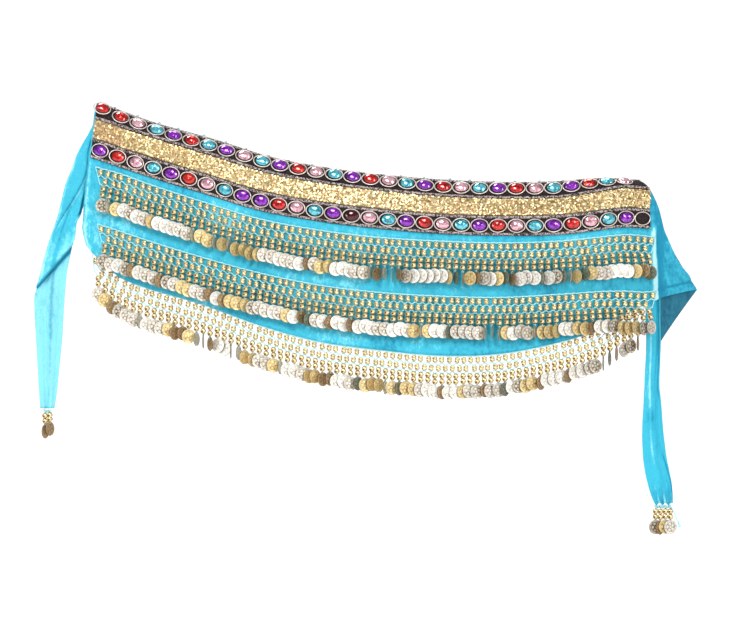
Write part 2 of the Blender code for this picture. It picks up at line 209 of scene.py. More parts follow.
def facing(x):
    """The level direction that the outer face looks in at each x, and the one along it."""
    tangent = unit(front(np.asarray(x, float) + 1) - front(np.asarray(x, float) - 1))
    out = np.stack([tangent[..., 1], -tangent[..., 0], np.zeros_like(tangent[..., 0])], -1)
    return out, tangent


def level_points(level, x):
    """Points of the outer face on one of the cloth's lines."""
    rise = np.hypot(1, (along("low", x + 1) - along("low", x - 1)) / 2)
    points = front(x, along("low", x))
    strips = (
        ("lean_low", RIBBON),
        ("lean_band", BAND),
        ("lean_mid", RIBBON / 2),
        ("lean_top", RIBBON / 2 + TOP_MARGIN),
    )
    above = {"band_low": 1, "band_top": 2, "stones": 3, "edge": 4}.get(level.name, 0)
    for column, wide in strips[:above]:
        lean = np.radians(along(column, x))
        points[:, 1] += wide * np.sin(lean)
        points[:, 2] += wide * np.cos(lean) * rise
    if level.name in ("row_1", "row_2", "hem"):
        points[:, 2] = along(level.name, x)
    if level.name == "below_1":
        points[:, 2] = (along("row_1", x) + along("row_2", x)) / 2
    if level.name == "below_2":
        points[:, 2] = (along("row_2", x) + along("hem", x)) / 2
    return points


def level_x(level, share):
    """The x of each share on a line: below 0 in the left margin, above 1 on the right flap."""
    inside = level.trim_left + np.clip(share, 0, 1) * (level.trim_right - level.trim_left)
    left = (level.trim_left - level.left) * np.clip(share, -1, 0)
    right = (level.right - level.trim_right) * np.clip(share - 1, 0, 1)
    return inside + left + right


def cloth_at(share, down):
    """Points of the cloth's outer face."""
    share, down = np.broadcast_arrays(np.asarray(share, float), np.asarray(down, float))
    flat = share.ravel()
    lines = np.array([level_points(level, level_x(level, flat)) for level in LEVELS])
    points = smooth([level.down for level in LEVELS], lines, down.ravel())
    return points.reshape(share.shape + (3,))


def cloth_frame(share, down):
    """Points of the outer face with the directions along it, down it and out of it."""
    points = cloth_at(share, down)
    across = unit(cloth_at(share + 0.002, down) - cloth_at(share - 0.002, down))
    below = unit(cloth_at(share, down + 0.6) - cloth_at(share, down - 0.6))
    out = unit(np.cross(below, across))
    return points, across, unit(np.cross(across, out)), out


def stone_shares():
    """The share of each side of each stone, at an even pitch along the low line."""
    xs = [TRIM_START]
    for _ in range(LOWER_STONES):
        _, here = facing(np.array([xs[-1]]))
        _, ahead = facing(np.array([xs[-1] + STONE_PITCH * here[0, 0]]))
        xs.append(xs[-1] + STONE_PITCH * (here[0, 0] + ahead[0, 0]) / 2)
    xs = np.array(xs)
    return (xs - xs[0]) / (xs[-1] - xs[0])


STONE_SHARES = stone_shares()


def share_of(cell):
    """The share of a place counted in stones from the left."""
    return np.interp(cell, np.arange(len(STONE_SHARES)), STONE_SHARES)


# Meshes

class Form:
    """Points and faces of a piece, gathered from its parts."""

    def __init__(self):
        self.points = []
        self.faces = []
        self.slots = []
        self.tones = []
        self.reliefs_and_shades = []
        self.count = 0

    def add(self, points, faces, slot=0, tone=0.5, relief_and_shade=1.0):
        """Adds a part; faces is a list of index arrays, each of one kind of face.

        tone sets its colour within its material, and relief how dark it is painted where low: by its height
        for a coin's patina, and for painted shade and dark reflections elsewhere.
        """
        points = np.asarray(points, float).reshape(-1, 3)
        for group in faces:
            group = np.asarray(group, int)
            self.faces.append(group + self.count)
            self.slots.append(np.broadcast_to(np.asarray(slot, np.int32), len(group)))
        self.points.append(points)
        self.tones.append(np.broadcast_to(np.asarray(tone, float), len(points)))
        self.reliefs_and_shades.append(np.broadcast_to(np.asarray(relief_and_shade, float), len(points)))
        self.count += len(points)

    def copies(self, template, centres, axes, slot=0, tones=0.5, clean=0.0):
        """Adds a copy of a template at each centre, its X, Y and Z along axes (count, 3, 3).

        clean is added to each copy's relief, so that less of the dark patina and painted shade shows on it.
        """
        shape, faces, *relief_and_shade = template
        centres = np.asarray(centres, float)
        points = np.einsum("pk,nkc->npc", shape, axes) + centres[:, None]
        tones = np.broadcast_to(np.asarray(tones, float), len(centres))
        start = np.arange(len(centres))[:, None, None] * len(shape)
        groups = []
        for group in faces:
            group = np.asarray(group, int)
            groups.append((group[None] + start).reshape(-1, group.shape[1]))
        relief_and_shade = np.tile(relief_and_shade[0], len(centres)) if relief_and_shade else 1.0
        clean = np.repeat(np.broadcast_to(clean, len(centres)), len(shape))
        self.add(points, groups, slot, np.repeat(tones, len(shape)), relief_and_shade + clean)

    def make(self, name, finishes, sharp=None, replaces=(), slot=None):
        """The object, riding on the part's one body."""
        points = np.concatenate(self.points) * MM
        loops = np.concatenate([group.ravel() for group in self.faces])
        sizes = np.concatenate([np.full(len(g), g.shape[1]) for g in self.faces])
        mesh = bpy.data.meshes.new(name)
        mesh.vertices.add(len(points))
        mesh.vertices.foreach_set("co", points.ravel())
        mesh.loops.add(len(loops))
        mesh.loops.foreach_set("vertex_index", loops)
        mesh.polygons.add(len(sizes))
        mesh.polygons.foreach_set("loop_start", np.concatenate([[0], np.cumsum(sizes)[:-1]]))
        mesh.polygons.foreach_set("use_smooth", np.ones(len(sizes), bool))
        mesh.polygons.foreach_set("material_index", np.concatenate(self.slots))
        mesh.update(calc_edges=True)
        for name_of, values in (("tone", self.tones), ("relief_and_shade", self.reliefs_and_shades)):
            attribute = mesh.attributes.new(name_of, "FLOAT", "POINT")
            attribute.data.foreach_set("value", np.concatenate(values))
        for finish in finishes:
            mesh.materials.append(finish)
        form = bmesh.new()
        form.from_mesh(mesh)
        bmesh.ops.recalc_face_normals(form, faces=form.faces)
        form.to_mesh(mesh)
        form.free()
        if sharp is not None:
            mesh.set_sharp_from_angle(angle=math.radians(sharp))
        piece = bpy.data.objects.new(name, mesh)
        bpy.context.scene.collection.objects.link(piece)
        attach(piece, BODY)
        if replaces:
            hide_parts(*replaces)
        return piece


def grid_quads(tall, wide, around=False):
    """Faces of a grid of points with tall rows; around joins its first and last columns."""
    rows = np.arange(tall - 1)[:, None] * wide
    columns = np.arange(wide if around else wide - 1)[None]
    after = (columns + 1) % wide
    quads = np.stack([rows + columns, rows + after, rows + wide + after, rows + wide + columns], -1)
    return quads.reshape(-1, 4)


def sheet_part(outer, inner):
    """Points and faces of a closed sheet between two grids of points."""
    tall, wide = outer.shape[:2]
    quads = grid_quads(tall, wide)
    count = tall * wide
    ids = np.arange(count).reshape(tall, wide)
    rim = np.concatenate([ids[0], ids[1:, -1], ids[-1, -2::-1], ids[-2:0:-1, 0]])
    after = np.roll(rim, -1)
    edge = np.stack([rim, after, after + count, rim + count], -1)
    points = np.concatenate([outer.reshape(-1, 3), inner.reshape(-1, 3)])
    return points, [np.concatenate([quads, quads[:, ::-1] + count, edge])]


def grid_normals(rows):
    """The outward direction at each point of a grid, for rows that run down and columns right."""
    across = np.gradient(rows, axis=1)
    below = np.gradient(rows, axis=0)
    return unit(np.cross(below, across))


def thin_sheet(outer, thick):
    """Points and faces of a closed sheet behind a grid of outer points."""
    return sheet_part(outer, outer - grid_normals(outer) * thick)


def both_faces(values):
    """A grid's values for the points of both faces of its sheet."""
    return np.tile(np.ravel(values), 2)


def tube_part(path, radius, sides, closed=False, upright=(0.0, 0.0, 1.0)):
    """Points and faces of a round cord along a path."""
    path = np.asarray(path, float)
    if closed:
        ahead = np.roll(path, -1, 0) - np.roll(path, 1, 0)
    else:
        ahead = np.gradient(path, axis=0)
    ahead = unit(ahead)
    side = unit(np.cross(ahead, np.asarray(upright, float)))
    lift = np.cross(side, ahead)
    turn = np.arange(sides) * 2 * math.pi / sides
    radius = np.broadcast_to(np.asarray(radius, float), len(path))[:, None, None]
    ring = side[:, None] * np.cos(turn)[None, :, None] + lift[:, None] * np.sin(turn)[None, :, None]
    points = (path[:, None] + ring * radius).reshape(-1, 3)
    quads = grid_quads(len(path), sides, around=True)
    if closed:
        last = (len(path) - 1) * sides + np.arange(sides)
        after = (np.arange(sides) + 1) % sides
        join = np.stack([last, last[0] + after, after, np.arange(sides)], -1)
        return points, [np.concatenate([quads, join])]
    ends = [np.arange(sides)[::-1][None], ((len(path) - 1) * sides + np.arange(sides))[None]]
    return points, [quads] + ends


def turned_part(profile, sides):
    """Points and faces turned round Z from (radius, height) pairs, closed at both ends."""
    profile = np.asarray(profile, float)
    turn = np.arange(sides) * 2 * math.pi / sides
    ring = np.stack([np.cos(turn), np.sin(turn)], -1)
    heights = np.broadcast_to(profile[:, None, 1:], (len(profile), sides, 1))
    points = np.concatenate([profile[:, None, :1] * ring[None], heights], -1).reshape(-1, 3)
    quads = grid_quads(len(profile), sides, around=True)
    first = np.arange(sides)[::-1][None]
    last = ((len(profile) - 1) * sides + np.arange(sides))[None]
    return points, [quads, first, last]


def flat_size(rows):
    """The width, length and area of a grid of points, laid flat, in metres."""
    across = np.linalg.norm(np.diff(rows, axis=1), axis=-1).sum(1)
    below = np.linalg.norm(np.diff(rows, axis=0), axis=-1).sum(0)
    a = rows[1:, :-1] - rows[:-1, :-1]
    b = rows[:-1, 1:] - rows[:-1, :-1]
    c = rows[1:, :-1] - rows[1:, 1:]
    d = rows[:-1, 1:] - rows[1:, 1:]
    halves = np.linalg.norm(np.cross(a, b), axis=-1) + np.linalg.norm(np.cross(c, d), axis=-1)
    return across.max() * MM, below.max() * MM, halves.sum() / 2 * MM * MM


def cloth_sheet(rows):
    """Works out the flat width, length and area of a sheet's outer face, and does nothing more with them.
    """
    wide, tall, area = flat_size(rows)
    area = min(max(area, LEAST_AREA * wide * tall), wide * tall)


# Materials

class Finish:
    """A node material, built with short calls."""

    def __init__(self, name, **values):
        self.material = bpy.data.materials.new(name)
        self.material.use_nodes = True
        self.nodes = self.material.node_tree.nodes
        self.links = self.material.node_tree.links
        self.shader = self.nodes["Principled BSDF"]
        self.place = self.nodes.new("ShaderNodeTexCoord").outputs["Object"]
        for key, value in values.items():
            self.shader.inputs[key.replace("_", " ")].default_value = value

    def stretched(self, scale):
        """The object's own coordinates, stretched along each axis."""
        node = self.nodes.new("ShaderNodeMapping")
        node.inputs["Scale"].default_value = scale
        self.links.new(self.place, node.inputs["Vector"])
        return node.outputs["Vector"]

    def noise(self, scale, detail=2.0, rough=0.5, place=None):
        """Noise with scale features to a metre."""
        node = self.nodes.new("ShaderNodeTexNoise")
        node.inputs["Scale"].default_value = scale
        node.inputs["Detail"].default_value = detail
        node.inputs["Roughness"].default_value = rough
        self.links.new(place or self.place, node.inputs["Vector"])
        return node.outputs["Fac"]

    def point_value(self, name):
        """The tone or relief that the mesh's points carry."""
        node = self.nodes.new("ShaderNodeAttribute")
        node.attribute_name = name
        return node.outputs["Fac"]

    def ramp(self, factor, stops):
        """Colours along a factor; stops are (place, colour)."""
        node = self.nodes.new("ShaderNodeValToRGB")
        points = node.color_ramp.elements
        while len(points) < len(stops):
            points.new(0.5)
        for point, (place, colour) in zip(points, stops):
            point.position = place
            point.color = (*colour, 1.0)
        self.links.new(factor, node.inputs["Fac"])
        return node.outputs["Color"]

    def mixed(self, kind, factor, first, second):
        """A mix of two colours; a number or a colour may stand for either, or for the factor."""
        node = self.nodes.new("ShaderNodeMix")
        node.data_type = "RGBA"
        node.blend_type = kind
        sockets = (node.inputs[0], node.inputs[6], node.inputs[7])
        for socket, value in zip(sockets, (factor, first, second)):
            if isinstance(value, bpy.types.NodeSocket):
                self.links.new(value, socket)
            elif isinstance(value, (int, float)):
                socket.default_value = value
            else:
                socket.default_value = (*value, 1.0)
        return node.outputs[2]

    def math(self, kind, first, second):
        """One calculation with two values, each a socket or a number."""
        node = self.nodes.new("ShaderNodeMath")
        node.operation = kind
        for socket, value in zip(node.inputs, (first, second)):
            if isinstance(value, bpy.types.NodeSocket):
                self.links.new(value, socket)
            else:
                socket.default_value = value
        return node.outputs[0]

    def ranged(self, factor, low, high):
        """A factor from 0 to 1 moved to run from low to high."""
        node = self.nodes.new("ShaderNodeMapRange")
        node.inputs["To Min"].default_value = low
        node.inputs["To Max"].default_value = high
        self.links.new(factor, node.inputs["Value"])
        return node.outputs["Result"]

    def wire(self, socket, key):
        """Leads a socket into the shader."""
        self.links.new(socket, self.shader.inputs[key])

    def bumps(self, height, strength, distance):
        """Fine bumps by a height, distance metres high."""
        node = self.nodes.new("ShaderNodeBump")
        node.inputs["Strength"].default_value = strength
        node.inputs["Distance"].default_value = distance
        self.links.new(height, node.inputs["Height"])
        self.links.new(node.outputs["Normal"], self.shader.inputs["Normal"])


def velvet(name, colour, streak, dark, brush=0.6):
    """Velvet whose nap is brushed lighter and darker in patches, and whose points' tone paints highlights
    and shade on it.

    brush is how strong the patches are.
    """
    f = Finish(name, Roughness=0.78, Specular_IOR_Level=0.25, Sheen_Weight=0.3, Sheen_Roughness=0.35)
    f.shader.inputs["Sheen Tint"].default_value = (*streak, 1.0)
    broad = f.noise(14.0, 2.0, 0.5, f.stretched((1.0, 1.0, 0.45)))
    fine = f.noise(200.0, 4.0, 0.75, f.stretched((1.0, 1.0, 0.6)))
    brushed = f.math("ADD", f.ranged(broad, -brush, brush), f.ranged(fine, -brush, brush))
    brushed = f.math("ADD", brushed, f.point_value("tone"))
    # The tone's painted highlights reach the pale stop, and its painted shade the dark one.
    pale = tuple(value + 0.35 * (1 - value) for value in streak)
    nap = f.ramp(brushed, ((0.1, dark), (0.45, colour), (0.58, colour), (0.86, streak), (1.0, pale)))
    speck = f.ramp(f.noise(1300.0, 2.0, 0.6), ((0.35, (0.72, 0.79, 0.82)), (0.62, WHITE)))
    f.wire(f.mixed("MULTIPLY", 1.0, nap, speck), "Base Color")
    f.bumps(f.noise(2100.0, 3.0, 0.7), 0.3, 0.0006)
    return f.material


def thread_finish(name, colour, light):
    """Twisted thread with a soft shine."""
    f = Finish(name, Roughness=0.55, Sheen_Weight=0.3)
    twist = f.noise(900.0, 2.0, 0.5, f.stretched((1.0, 1.0, 2.4)))
    f.wire(f.ramp(twist, ((0.35, colour), (0.65, light))), "Base Color")
    f.bumps(twist, 0.5, 0.0005)
    return f.material


def metal_finish(name, stops, rough, metal, grain, strength):
    """Plated metal whose colour follows each copy's tone, darkened where its relief is low: patina in the
    coins' hollows, and painted shade and dark reflections on beads and coin edges.
    """
    f = Finish(name, Metallic=metal)
    worn = f.noise(grain * 0.2, 3.0, 0.6)
    shade = f.ramp(worn, ((0.30, (0.74, 0.68, 0.6)), (0.62, WHITE)))
    plated = f.mixed("MULTIPLY", 0.7, f.ramp(f.point_value("tone"), stops), shade)
    height = f.math("ADD", f.point_value("relief_and_shade"), f.ranged(worn, -0.2, 0.2))
    # Low relief paints coin patina, and painted shade and dark reflections on beads and coin edges.
    low = f.ramp(height, ((0.0, DIRT_AND_SHADE), (0.6, WHITE)))
    f.wire(f.mixed("MULTIPLY", 1.0, plated, low), "Base Color")
    f.wire(f.ranged(worn, rough + 0.1, rough - 0.06), "Roughness")
    f.bumps(f.noise(grain, 3.0, 0.6), strength, 0.0004)
    return f.material


def stone_finish(name, colour, deep, glint):
    """A foil-backed resin stone: coloured metal under a clear coat."""
    f = Finish(name, Metallic=0.6, Roughness=0.16, Coat_Weight=1.0, Coat_Roughness=0.03)
    clouds = f.noise(240.0, 2.0, 0.6)
    foil = f.ramp(clouds, ((0.36, deep), (0.5, colour), (0.66, colour), (0.74, glint)))
    lit = f.ramp(f.point_value("relief_and_shade"), ((0.0, (0.16, 0.16, 0.16)), (0.75, WHITE)))
    f.wire(f.mixed("MULTIPLY", 1.0, foil, lit), "Base Color")
    f.bumps(f.noise(420.0, 1.0, 0.4), 0.22, 0.0008)
    return f.material


# The hip cloth

ROW_STEPS = (5, 5, 8, 8, 4, 12, 12, 10, 10)
CELL_STEPS = 7
FLAP_STEPS = 34
MARGIN_STEPS = 4

# The fold at the right, from the top of the fringe down, and the seam above the flap's hem
FOLD_START_Z = -3.0
HEM_SEAM = (319.5, -97.4, 0.23)


def cloth_rows():
    """The shares and downs of the cloth's fine grid."""
    shares = np.concatenate([
        np.linspace(-1, 0, MARGIN_STEPS, endpoint=False),
        share_of(np.linspace(0, LOWER_STONES, LOWER_STONES * CELL_STEPS + 1)),
        np.linspace(1, 2, FLAP_STEPS + 1)[1:],
    ])
    downs = [0.0]
    for upper, lower, steps in zip(LEVELS, LEVELS[1:], ROW_STEPS):
        downs += list(np.linspace(upper.down, lower.down, steps + 1)[1:])
    return shares, np.array(downs)


def hem_seam(x):
    """The height of the sewn line above the flap's hem."""
    start, height, slope = HEM_SEAM
    return height + (x - start) * slope


def cloth_folds(points, share, down):
    """How far the velvet stands out of its smooth form: rolled ends, long folds and puckers."""
    x, z = points[..., 0], points[..., 2]
    below = ease(60, 80, down)
    left_edge = x - points[:, :1, 0]
    roll = 2.0 * bump(left_edge, 4.6, 2.6) - 0.5 * bump(left_edge, 0.0, 2.0)
    lean = (FOLD_START_Z - z) / 24.0
    ridge = 1.9 * bump(x, 308 + lean, 3.0) - 1.2 * bump(x, 315.5 + lean, 4.5)
    waves = 0.55 * np.sin(x / 17 + 0.9 * np.sin(z / 31)) + 0.35 * np.sin(x / 7.3 + z / 23)
    slack = below * ease(196, 176, down) * ease(-1, 0.02, share) * ease(1.02, 0.97, share)
    long_fold = 1.3 * bump(x + 0.12 * z, -150, 16) - 1.0 * bump(x - 0.1 * z, 60, 22)
    flap = ease(1.0, 1.15, share)
    hem_line = -0.9 * bump(z, hem_seam(x), 1.3) * flap
    pull = -1.6 * bump(z - (-62 - (x - 318) * 0.75), 0, 6) * flap * ease(70, 110, down)
    soft = 1.2 * bump(z - (-22 - (x - 312) * 0.9), 0, 9) * flap
    hanging = below * (roll + ridge * ease(46, 70, down)) + slack * (waves + long_fold)
    return hanging + hem_line + pull + soft


def cloth_painted_light(points, share, down):
    """The velvet's painted light and shade, as a tone where 0.5 is plain: painted highlights on the fold's
    ridge, on a patch of the flap and on the rolled left edge, and painted shade beside the ridge and beside
    the left edge, over the whole flap, in the sewn line above the flap's hem and just below the lower
    ribbon.
    """
    x, z = points[..., 0], points[..., 2]
    hanging = ease(56, 72, down)
    fold = 309.2 + (FOLD_START_Z - z) / 30.0
    tone = 0.5 + 1.1 * bump(x, fold, 2.2 + 1.2 * bump(z, -25, 14) + 1.2 * bump(z, -72, 16)) * hanging
    tone = tone - 0.34 * bump(x, fold + 6.5, 3.4) * hanging - 0.26 * ease(1.03, 1.12, share)
    tone = tone + 0.24 * bump(x, 327 - 0.2 * z, 4) * bump(z, -45, 14)
    tone = tone - 0.5 * bump(z, hem_seam(x), 1.1) * ease(1.0, 1.15, share)
    edge = x - points[:, :1, 0]
    tone = tone + 0.32 * bump(edge, 3.4, 1.8) * hanging - 0.1 * bump(edge, 10, 5) * hanging
    return tone - 0.2 * bump(down, DOWN["low"] + 1.5, 2.2) * ease(1.02, 0.99, share)


def hip_cloth(s):
    """The velvet hip cloth, as one sheet on its solid's form."""
    shares, downs = cloth_rows()
    share, down = np.meshgrid(shares, downs)
    base = cloth_at(share, down)
    outer = base + grid_normals(base) * (cloth_folds(base, share, down) - 0.1)[..., None]
    form = Form()
    # The tone paints the cloth's highlights and shade into its colour.
    form.add(*thin_sheet(outer, s.cloth_thick / MM), tone=both_faces(cloth_painted_light(base, share, down)))
    velvets = velvet("turquoise_velvet", s.velvet[:], s.nap_light[:], s.nap_dark_and_shade[:])
    piece = form.make("hip_cloth", [velvets], replaces=["hip_panel"], slot="velvet")
    cloth_sheet(outer)


FLAP_FOLD_TOP = np.array((319.6, 42.6, -36.0))
FLAP_FOLD_LOW = np.array((357.5, 70.9, -99.5))
FLAP_SEAM_TOP = np.array((316.0, 48.6, -104.0))
FLAP_SEAM_LOW = np.array((316.4, 47.8, -158.0))
FLAP_BEND = np.array((-2.2, 0.0, -2.0))


def back_flap(s):
    """The cloth past the fold, turned back with its wrong side to the front."""
    a, b = np.meshgrid(np.linspace(0, 1, 36), np.linspace(0, 1, 48))
    a, b = a[..., None], b[..., None]
    fold = FLAP_FOLD_TOP + (FLAP_FOLD_LOW - FLAP_FOLD_TOP) * b
    seam = FLAP_SEAM_TOP + (FLAP_SEAM_LOW - FLAP_SEAM_TOP) * b
    outer = seam + (fold - seam) * a + FLAP_BEND * (b * 4 * a * (1 - a)) + np.array((0, FRONT_Y, 0))
    drape = 1.6 * np.sin(a * 5.5 + b * 2.0) * np.sin(math.pi * a) + 0.7 * np.sin(a * 13 - b * 4)
    outer[..., 1:2] += drape * ease(0, 0.3, a) * ease(1, 0.75, a)
    form = Form()
    form.add(*thin_sheet(outer, s.cloth_thick / MM))
    wrong = velvet("wrong_side_shaded", s.wrong_side[:], s.wrong_light[:], s.wrong_dark[:])
    piece = form.make("right_back_cloth", [wrong], replaces=["right_back_flap"], slot="velvet")
    cloth_sheet(outer)


# The ties

TieRow = namedtuple("TieRow", "left_x left_z right_x right_z left_y right_y")
LEFT_TIE = [
    TieRow(-304.5, 91, -302.8, 91.5, 108, 109),
    TieRow(-311, 77, -306.5, 77, 103, 100),
    TieRow(-324.5, 53, -311.2, 55, 102, 95),
    TieRow(-331, 35, -310.8, 35, 102, 92.5),
    TieRow(-338, 18.5, -313.4, 16.5, 104, 92.6),
    TieRow(-343, -2, -316.6, 0, 105, 92.8),
    TieRow(-348, -21, -320.8, -13, 105, 95),
    TieRow(-356, -44, -325.5, -24, 104, 98),
    TieRow(-363, -68, -327, -37, 103, 100),
    TieRow(-369, -92.5, -329.5, -48, 101, 100),
    TieRow(-369.5, -96, -331, -52, 107, 106),
    TieRow(-372.5, -107, -336, -77, 106, 104),
    TieRow(-372, -130, -339.5, -115.5, 105, 103),
    TieRow(-370.5, -154, -341.5, -148.5, 104, 102),
    TieRow(-369, -181.5, -344, -178, 103, 102),
    TieRow(-367.5, -209, -347, -207, 103, 102),
    TieRow(-366, -229.5, -350, -229.5, 103, 102.5),
]
TWIST_ROW = 9

# How far across the left tie its crease and its dark pocket lie, row by row
CREASE_ROWS = (0, 2, 3, 4, 5, 6, 7, 16)
CREASE_SHARES = (0.9, 0.88, 0.86, 0.74, 0.5, 0.26, 0.1, 0.1)
POCKET_ROWS = (0, 2, 3, 4, 5, 6, 16)
POCKET_SHARES = (0.97, 0.97, 0.95, 0.9, 0.86, 0.9, 1.0)

RIGHT_TIE = [
    TieRow(301, -98, 317.5, -98, 41.5, 46.5),
    TieRow(301.5, -130, 317.5, -130, 39.5, 45.5),
    TieRow(302, -159.5, 318, -159.5, 39.5, 45.5),
    TieRow(300, -201, 316.5, -201, 39.5, 45.5),
    TieRow(299, -223, 318.5, -223, 39.5, 45.5),
    TieRow(297.5, -251, 320.5, -251, 39.5, 45.5),
    TieRow(298, -277, 323.5, -277, 39.5, 45.5),
    TieRow(299, -289, 325.5, -289, 39.5, 45.5),
    TieRow(302.5, -309, 329.5, -309, 40.5, 45.5),
    TieRow(307, -324.5, 330.2, -324.5, 41.5, 44.5),
    TieRow(310.5, -334.5, 330.3, -334.5, 42, 44),
]


def tie_grid(rows, steps, columns):
    """A tie's face between its two edges, with the row number and share across of each point."""
    table = np.array(rows, float)
    places = np.arange(len(rows))
    stretches = [np.linspace(k, k + 1, count, endpoint=False) for k, count in enumerate(steps)]
    row = np.concatenate([*stretches, [len(rows) - 1]])
    a = np.linspace(0, 1, columns)
    edges = np.stack([smooth(places, table[:, k], row) for k in range(6)], -1)
    left = edges[:, None, (0, 4, 1)]
    right = edges[:, None, (2, 5, 3)]
    points = left + (right - left) * a[None, :, None]
    points[..., 1] += FRONT_Y
    return points, *np.meshgrid(row, a, indexing="ij")


def left_tie(s):
    """The left tie: creased twice at its root, and turned over once."""
    steps = [6] * 16
    steps[TWIST_ROW] = 2
    points, row, a = tie_grid(LEFT_TIE, steps, 46)
    above = ease(TWIST_ROW + 0.6, TWIST_ROW + 0.1, row)
    crease = smooth(CREASE_ROWS, CREASE_SHARES, row.ravel()).reshape(row.shape)
    crease_on = ease(0.8, 2.2, row) * ease(7.2, 5.6, row)
    pocket = smooth(POCKET_ROWS, POCKET_SHARES, row.ravel()).reshape(row.shape)
    pocket_on = ease(2.0, 3.2, row) * ease(6.6, 5.9, row)
    depth = 3.2 * ease(-0.01, 0.035, a - crease) * crease_on
    depth -= 1.6 * bump(a, crease - 0.05, 0.07) * crease_on
    depth -= 1.4 * bump(a, crease + 0.09, 0.05) * crease_on
    depth += 7.0 * ease(-0.01, 0.05, a - pocket) * pocket_on
    depth -= 1.8 * bump(a, 0.35, 0.16) * ease(3.0, 6.0, row) * above
    depth += 1.3 * bump(a, 0.72, 0.12) * ease(5.5, 7.5, row) * above
    depth -= 1.6 * bump(row, TWIST_ROW - 0.25, 0.5) * above
    below = 1 - above
    depth += below * (1.5 * bump(a, 0.22 + 0.01 * row, 0.10) - 1.5 * bump(a, 0.55, 0.12))
    depth += below * (1.2 * bump(a, 0.84, 0.07) * ease(10.5, 12, row))
    depth += below * 1.4 * np.cos(a * 4 * math.pi) * ease(14.4, 16, row)
    depth += 0.35 * np.sin(row * 2.3 + a * 5)
    points[..., 1] += depth
    # The tone paints highlights along the left edge, above the twist and beside the crease, and shade in
    # the crease, in the pocket, in a fold above the twist, under the turned-over lip and in a valley below
    # it.
    tone = 0.5 + above * (0.25 * bump(a, 0.05, 0.05) + 0.2 * bump(row, 8.4, 1.0))
    tone += crease_on * (0.42 * bump(a, crease + 0.03, 0.035) - 0.5 * bump(a, crease - 0.045, 0.04))
    tone -= 0.55 * ease(0.0, 0.05, a - pocket) * pocket_on
    tone -= above * 0.3 * bump(a, 0.42, 0.07) * ease(4.0, 6.5, row)
    tone -= below * 0.9 * bump(row, TWIST_ROW + 0.95, 0.32) + below * 0.2 * bump(a, 0.55, 0.06)
    form = Form()
    lip = (row[:-1, :-1] >= TWIST_ROW + 0.45).ravel()
    shell, faces = thin_sheet(points, s.cloth_thick / MM)
    rim = len(faces[0]) - 2 * len(lip)
    form.add(shell, faces, np.concatenate([lip, lip, np.zeros(rim, bool)]), both_faces(tone))
    right_side = velvet("tie_velvet", s.velvet[:], s.nap_light[:], s.nap_dark_and_shade[:], 0.38)
    wrong = velvet("tie_wrong_side", s.tie_pale[:], s.tie_light[:], s.nap_dark_and_shade[:], 0.3)
    piece = form.make("left_tie_cloth", [right_side, wrong], replaces=["left_tie"], slot="velvet")
    cloth_sheet(points)


def right_tie(s):
    """The right tie, with long soft folds and its end drawn together."""
    points, row, a = tie_grid(RIGHT_TIE, [7] * 10, 44)
    depth = 1.5 * bump(a, 0.78 - 0.02 * row, 0.05) - 1.7 * bump(a, 0.9 - 0.01 * row, 0.06)
    depth += ease(1.0, 3.5, row) * (1.3 * bump(a, 0.25 + 0.03 * row, 0.11) - 1.5 * bump(a, 0.5, 0.1))
    depth += 1.7 * bump(a - 0.06 * (row - 6), 0.74, 0.06) * ease(4.5, 7, row)
    depth -= 1.4 * bump(row, 3.0 + 0.5 * a, 0.25) * bump(a, 0.15, 0.3)
    gathered = ease(7.4, 9.8, row)
    depth += gathered * (1.5 * np.cos(a * 6 * math.pi + 0.6) + 0.5 * np.cos(a * 15 * math.pi))
    depth += 0.3 * np.sin(row * 2.9 - a * 4)
    points[..., 1] += depth
    points[..., 2] += ease(9.0, 10.0, row) * 1.2 * np.cos(a * 6 * math.pi + 0.6)
    # The tone paints shade in the fold lines, in a valley and in a band across the tie, a highlight on a
    # ridge, and light and shade on the gathers at its end.
    tone = 0.5 - 0.6 * bump(a, 0.9 - 0.01 * row, 0.035) * ease(4.2, 3.4, row)
    tone += 0.22 * bump(a, 0.25 + 0.03 * row, 0.08) - 0.18 * bump(a, 0.5, 0.07) * ease(1.0, 3.0, row)
    tone -= 0.5 * bump(a - 0.06 * (row - 6), 0.84, 0.03) * ease(5.5, 7, row)
    tone -= 0.3 * bump(row, 4.55, 0.3) * bump(a, 0.4, 0.25)
    tone -= gathered * 0.25 * np.cos(a * 6 * math.pi + 3.7)
    form = Form()
    form.add(*thin_sheet(points, s.cloth_thick / MM), tone=both_faces(tone))
    right_side = velvet("right_tie_velvet", s.right_tie[:], s.tie_light[:], s.nap_dark_and_shade[:], 0.3)
    piece = form.make("right_tie_cloth", [right_side], replaces=["right_tie"], slot="velvet")
    cloth_sheet(points)


# Ribbons, stones and sequins

RibbonRow = namedtuple("RibbonRow", "name top_down node stones first pitch colours")
R, P, A, V, D, N = "red", "pink", "aqua", "violet", "dark", "none"
UPPER_COLOURS = (R, R, P, A, V, R, A, V, P, A, V) + (R, P, A, V) * 4 + (R, A, P)
LOWER_COLOURS = (V, R, P, A, V, R, P, A, V, V, R, P, A, V, D, P, A, V) + (R, P, A, V) * 3 + (N,)
RIBBONS = [
    RibbonRow("upper", TOP_MARGIN, "upper_gem_trim", UPPER_STONES, 0.38, 1.0125, UPPER_COLOURS),
    RibbonRow("lower", DOWN["band_low"], "lower_gem_trim", LOWER_STONES, 0.5, 1.0, LOWER_COLOURS),
]
STRIP_ROWS = 7
CORNER_STONE_SHIFT = np.array((-1.2, -0.6, 2.4))
BRAID_PERIOD = 3.8
BRAID_STEPS = 6
BRAID_FROM_EDGE = 1.9
BRAID_SWING = 1.2
SEQUIN_COLUMNS = 395
SEQUIN_ROWS = 15
SEQUIN_FROM_EDGE = 0.9
DARK_PATCH_CELLS = 1.6


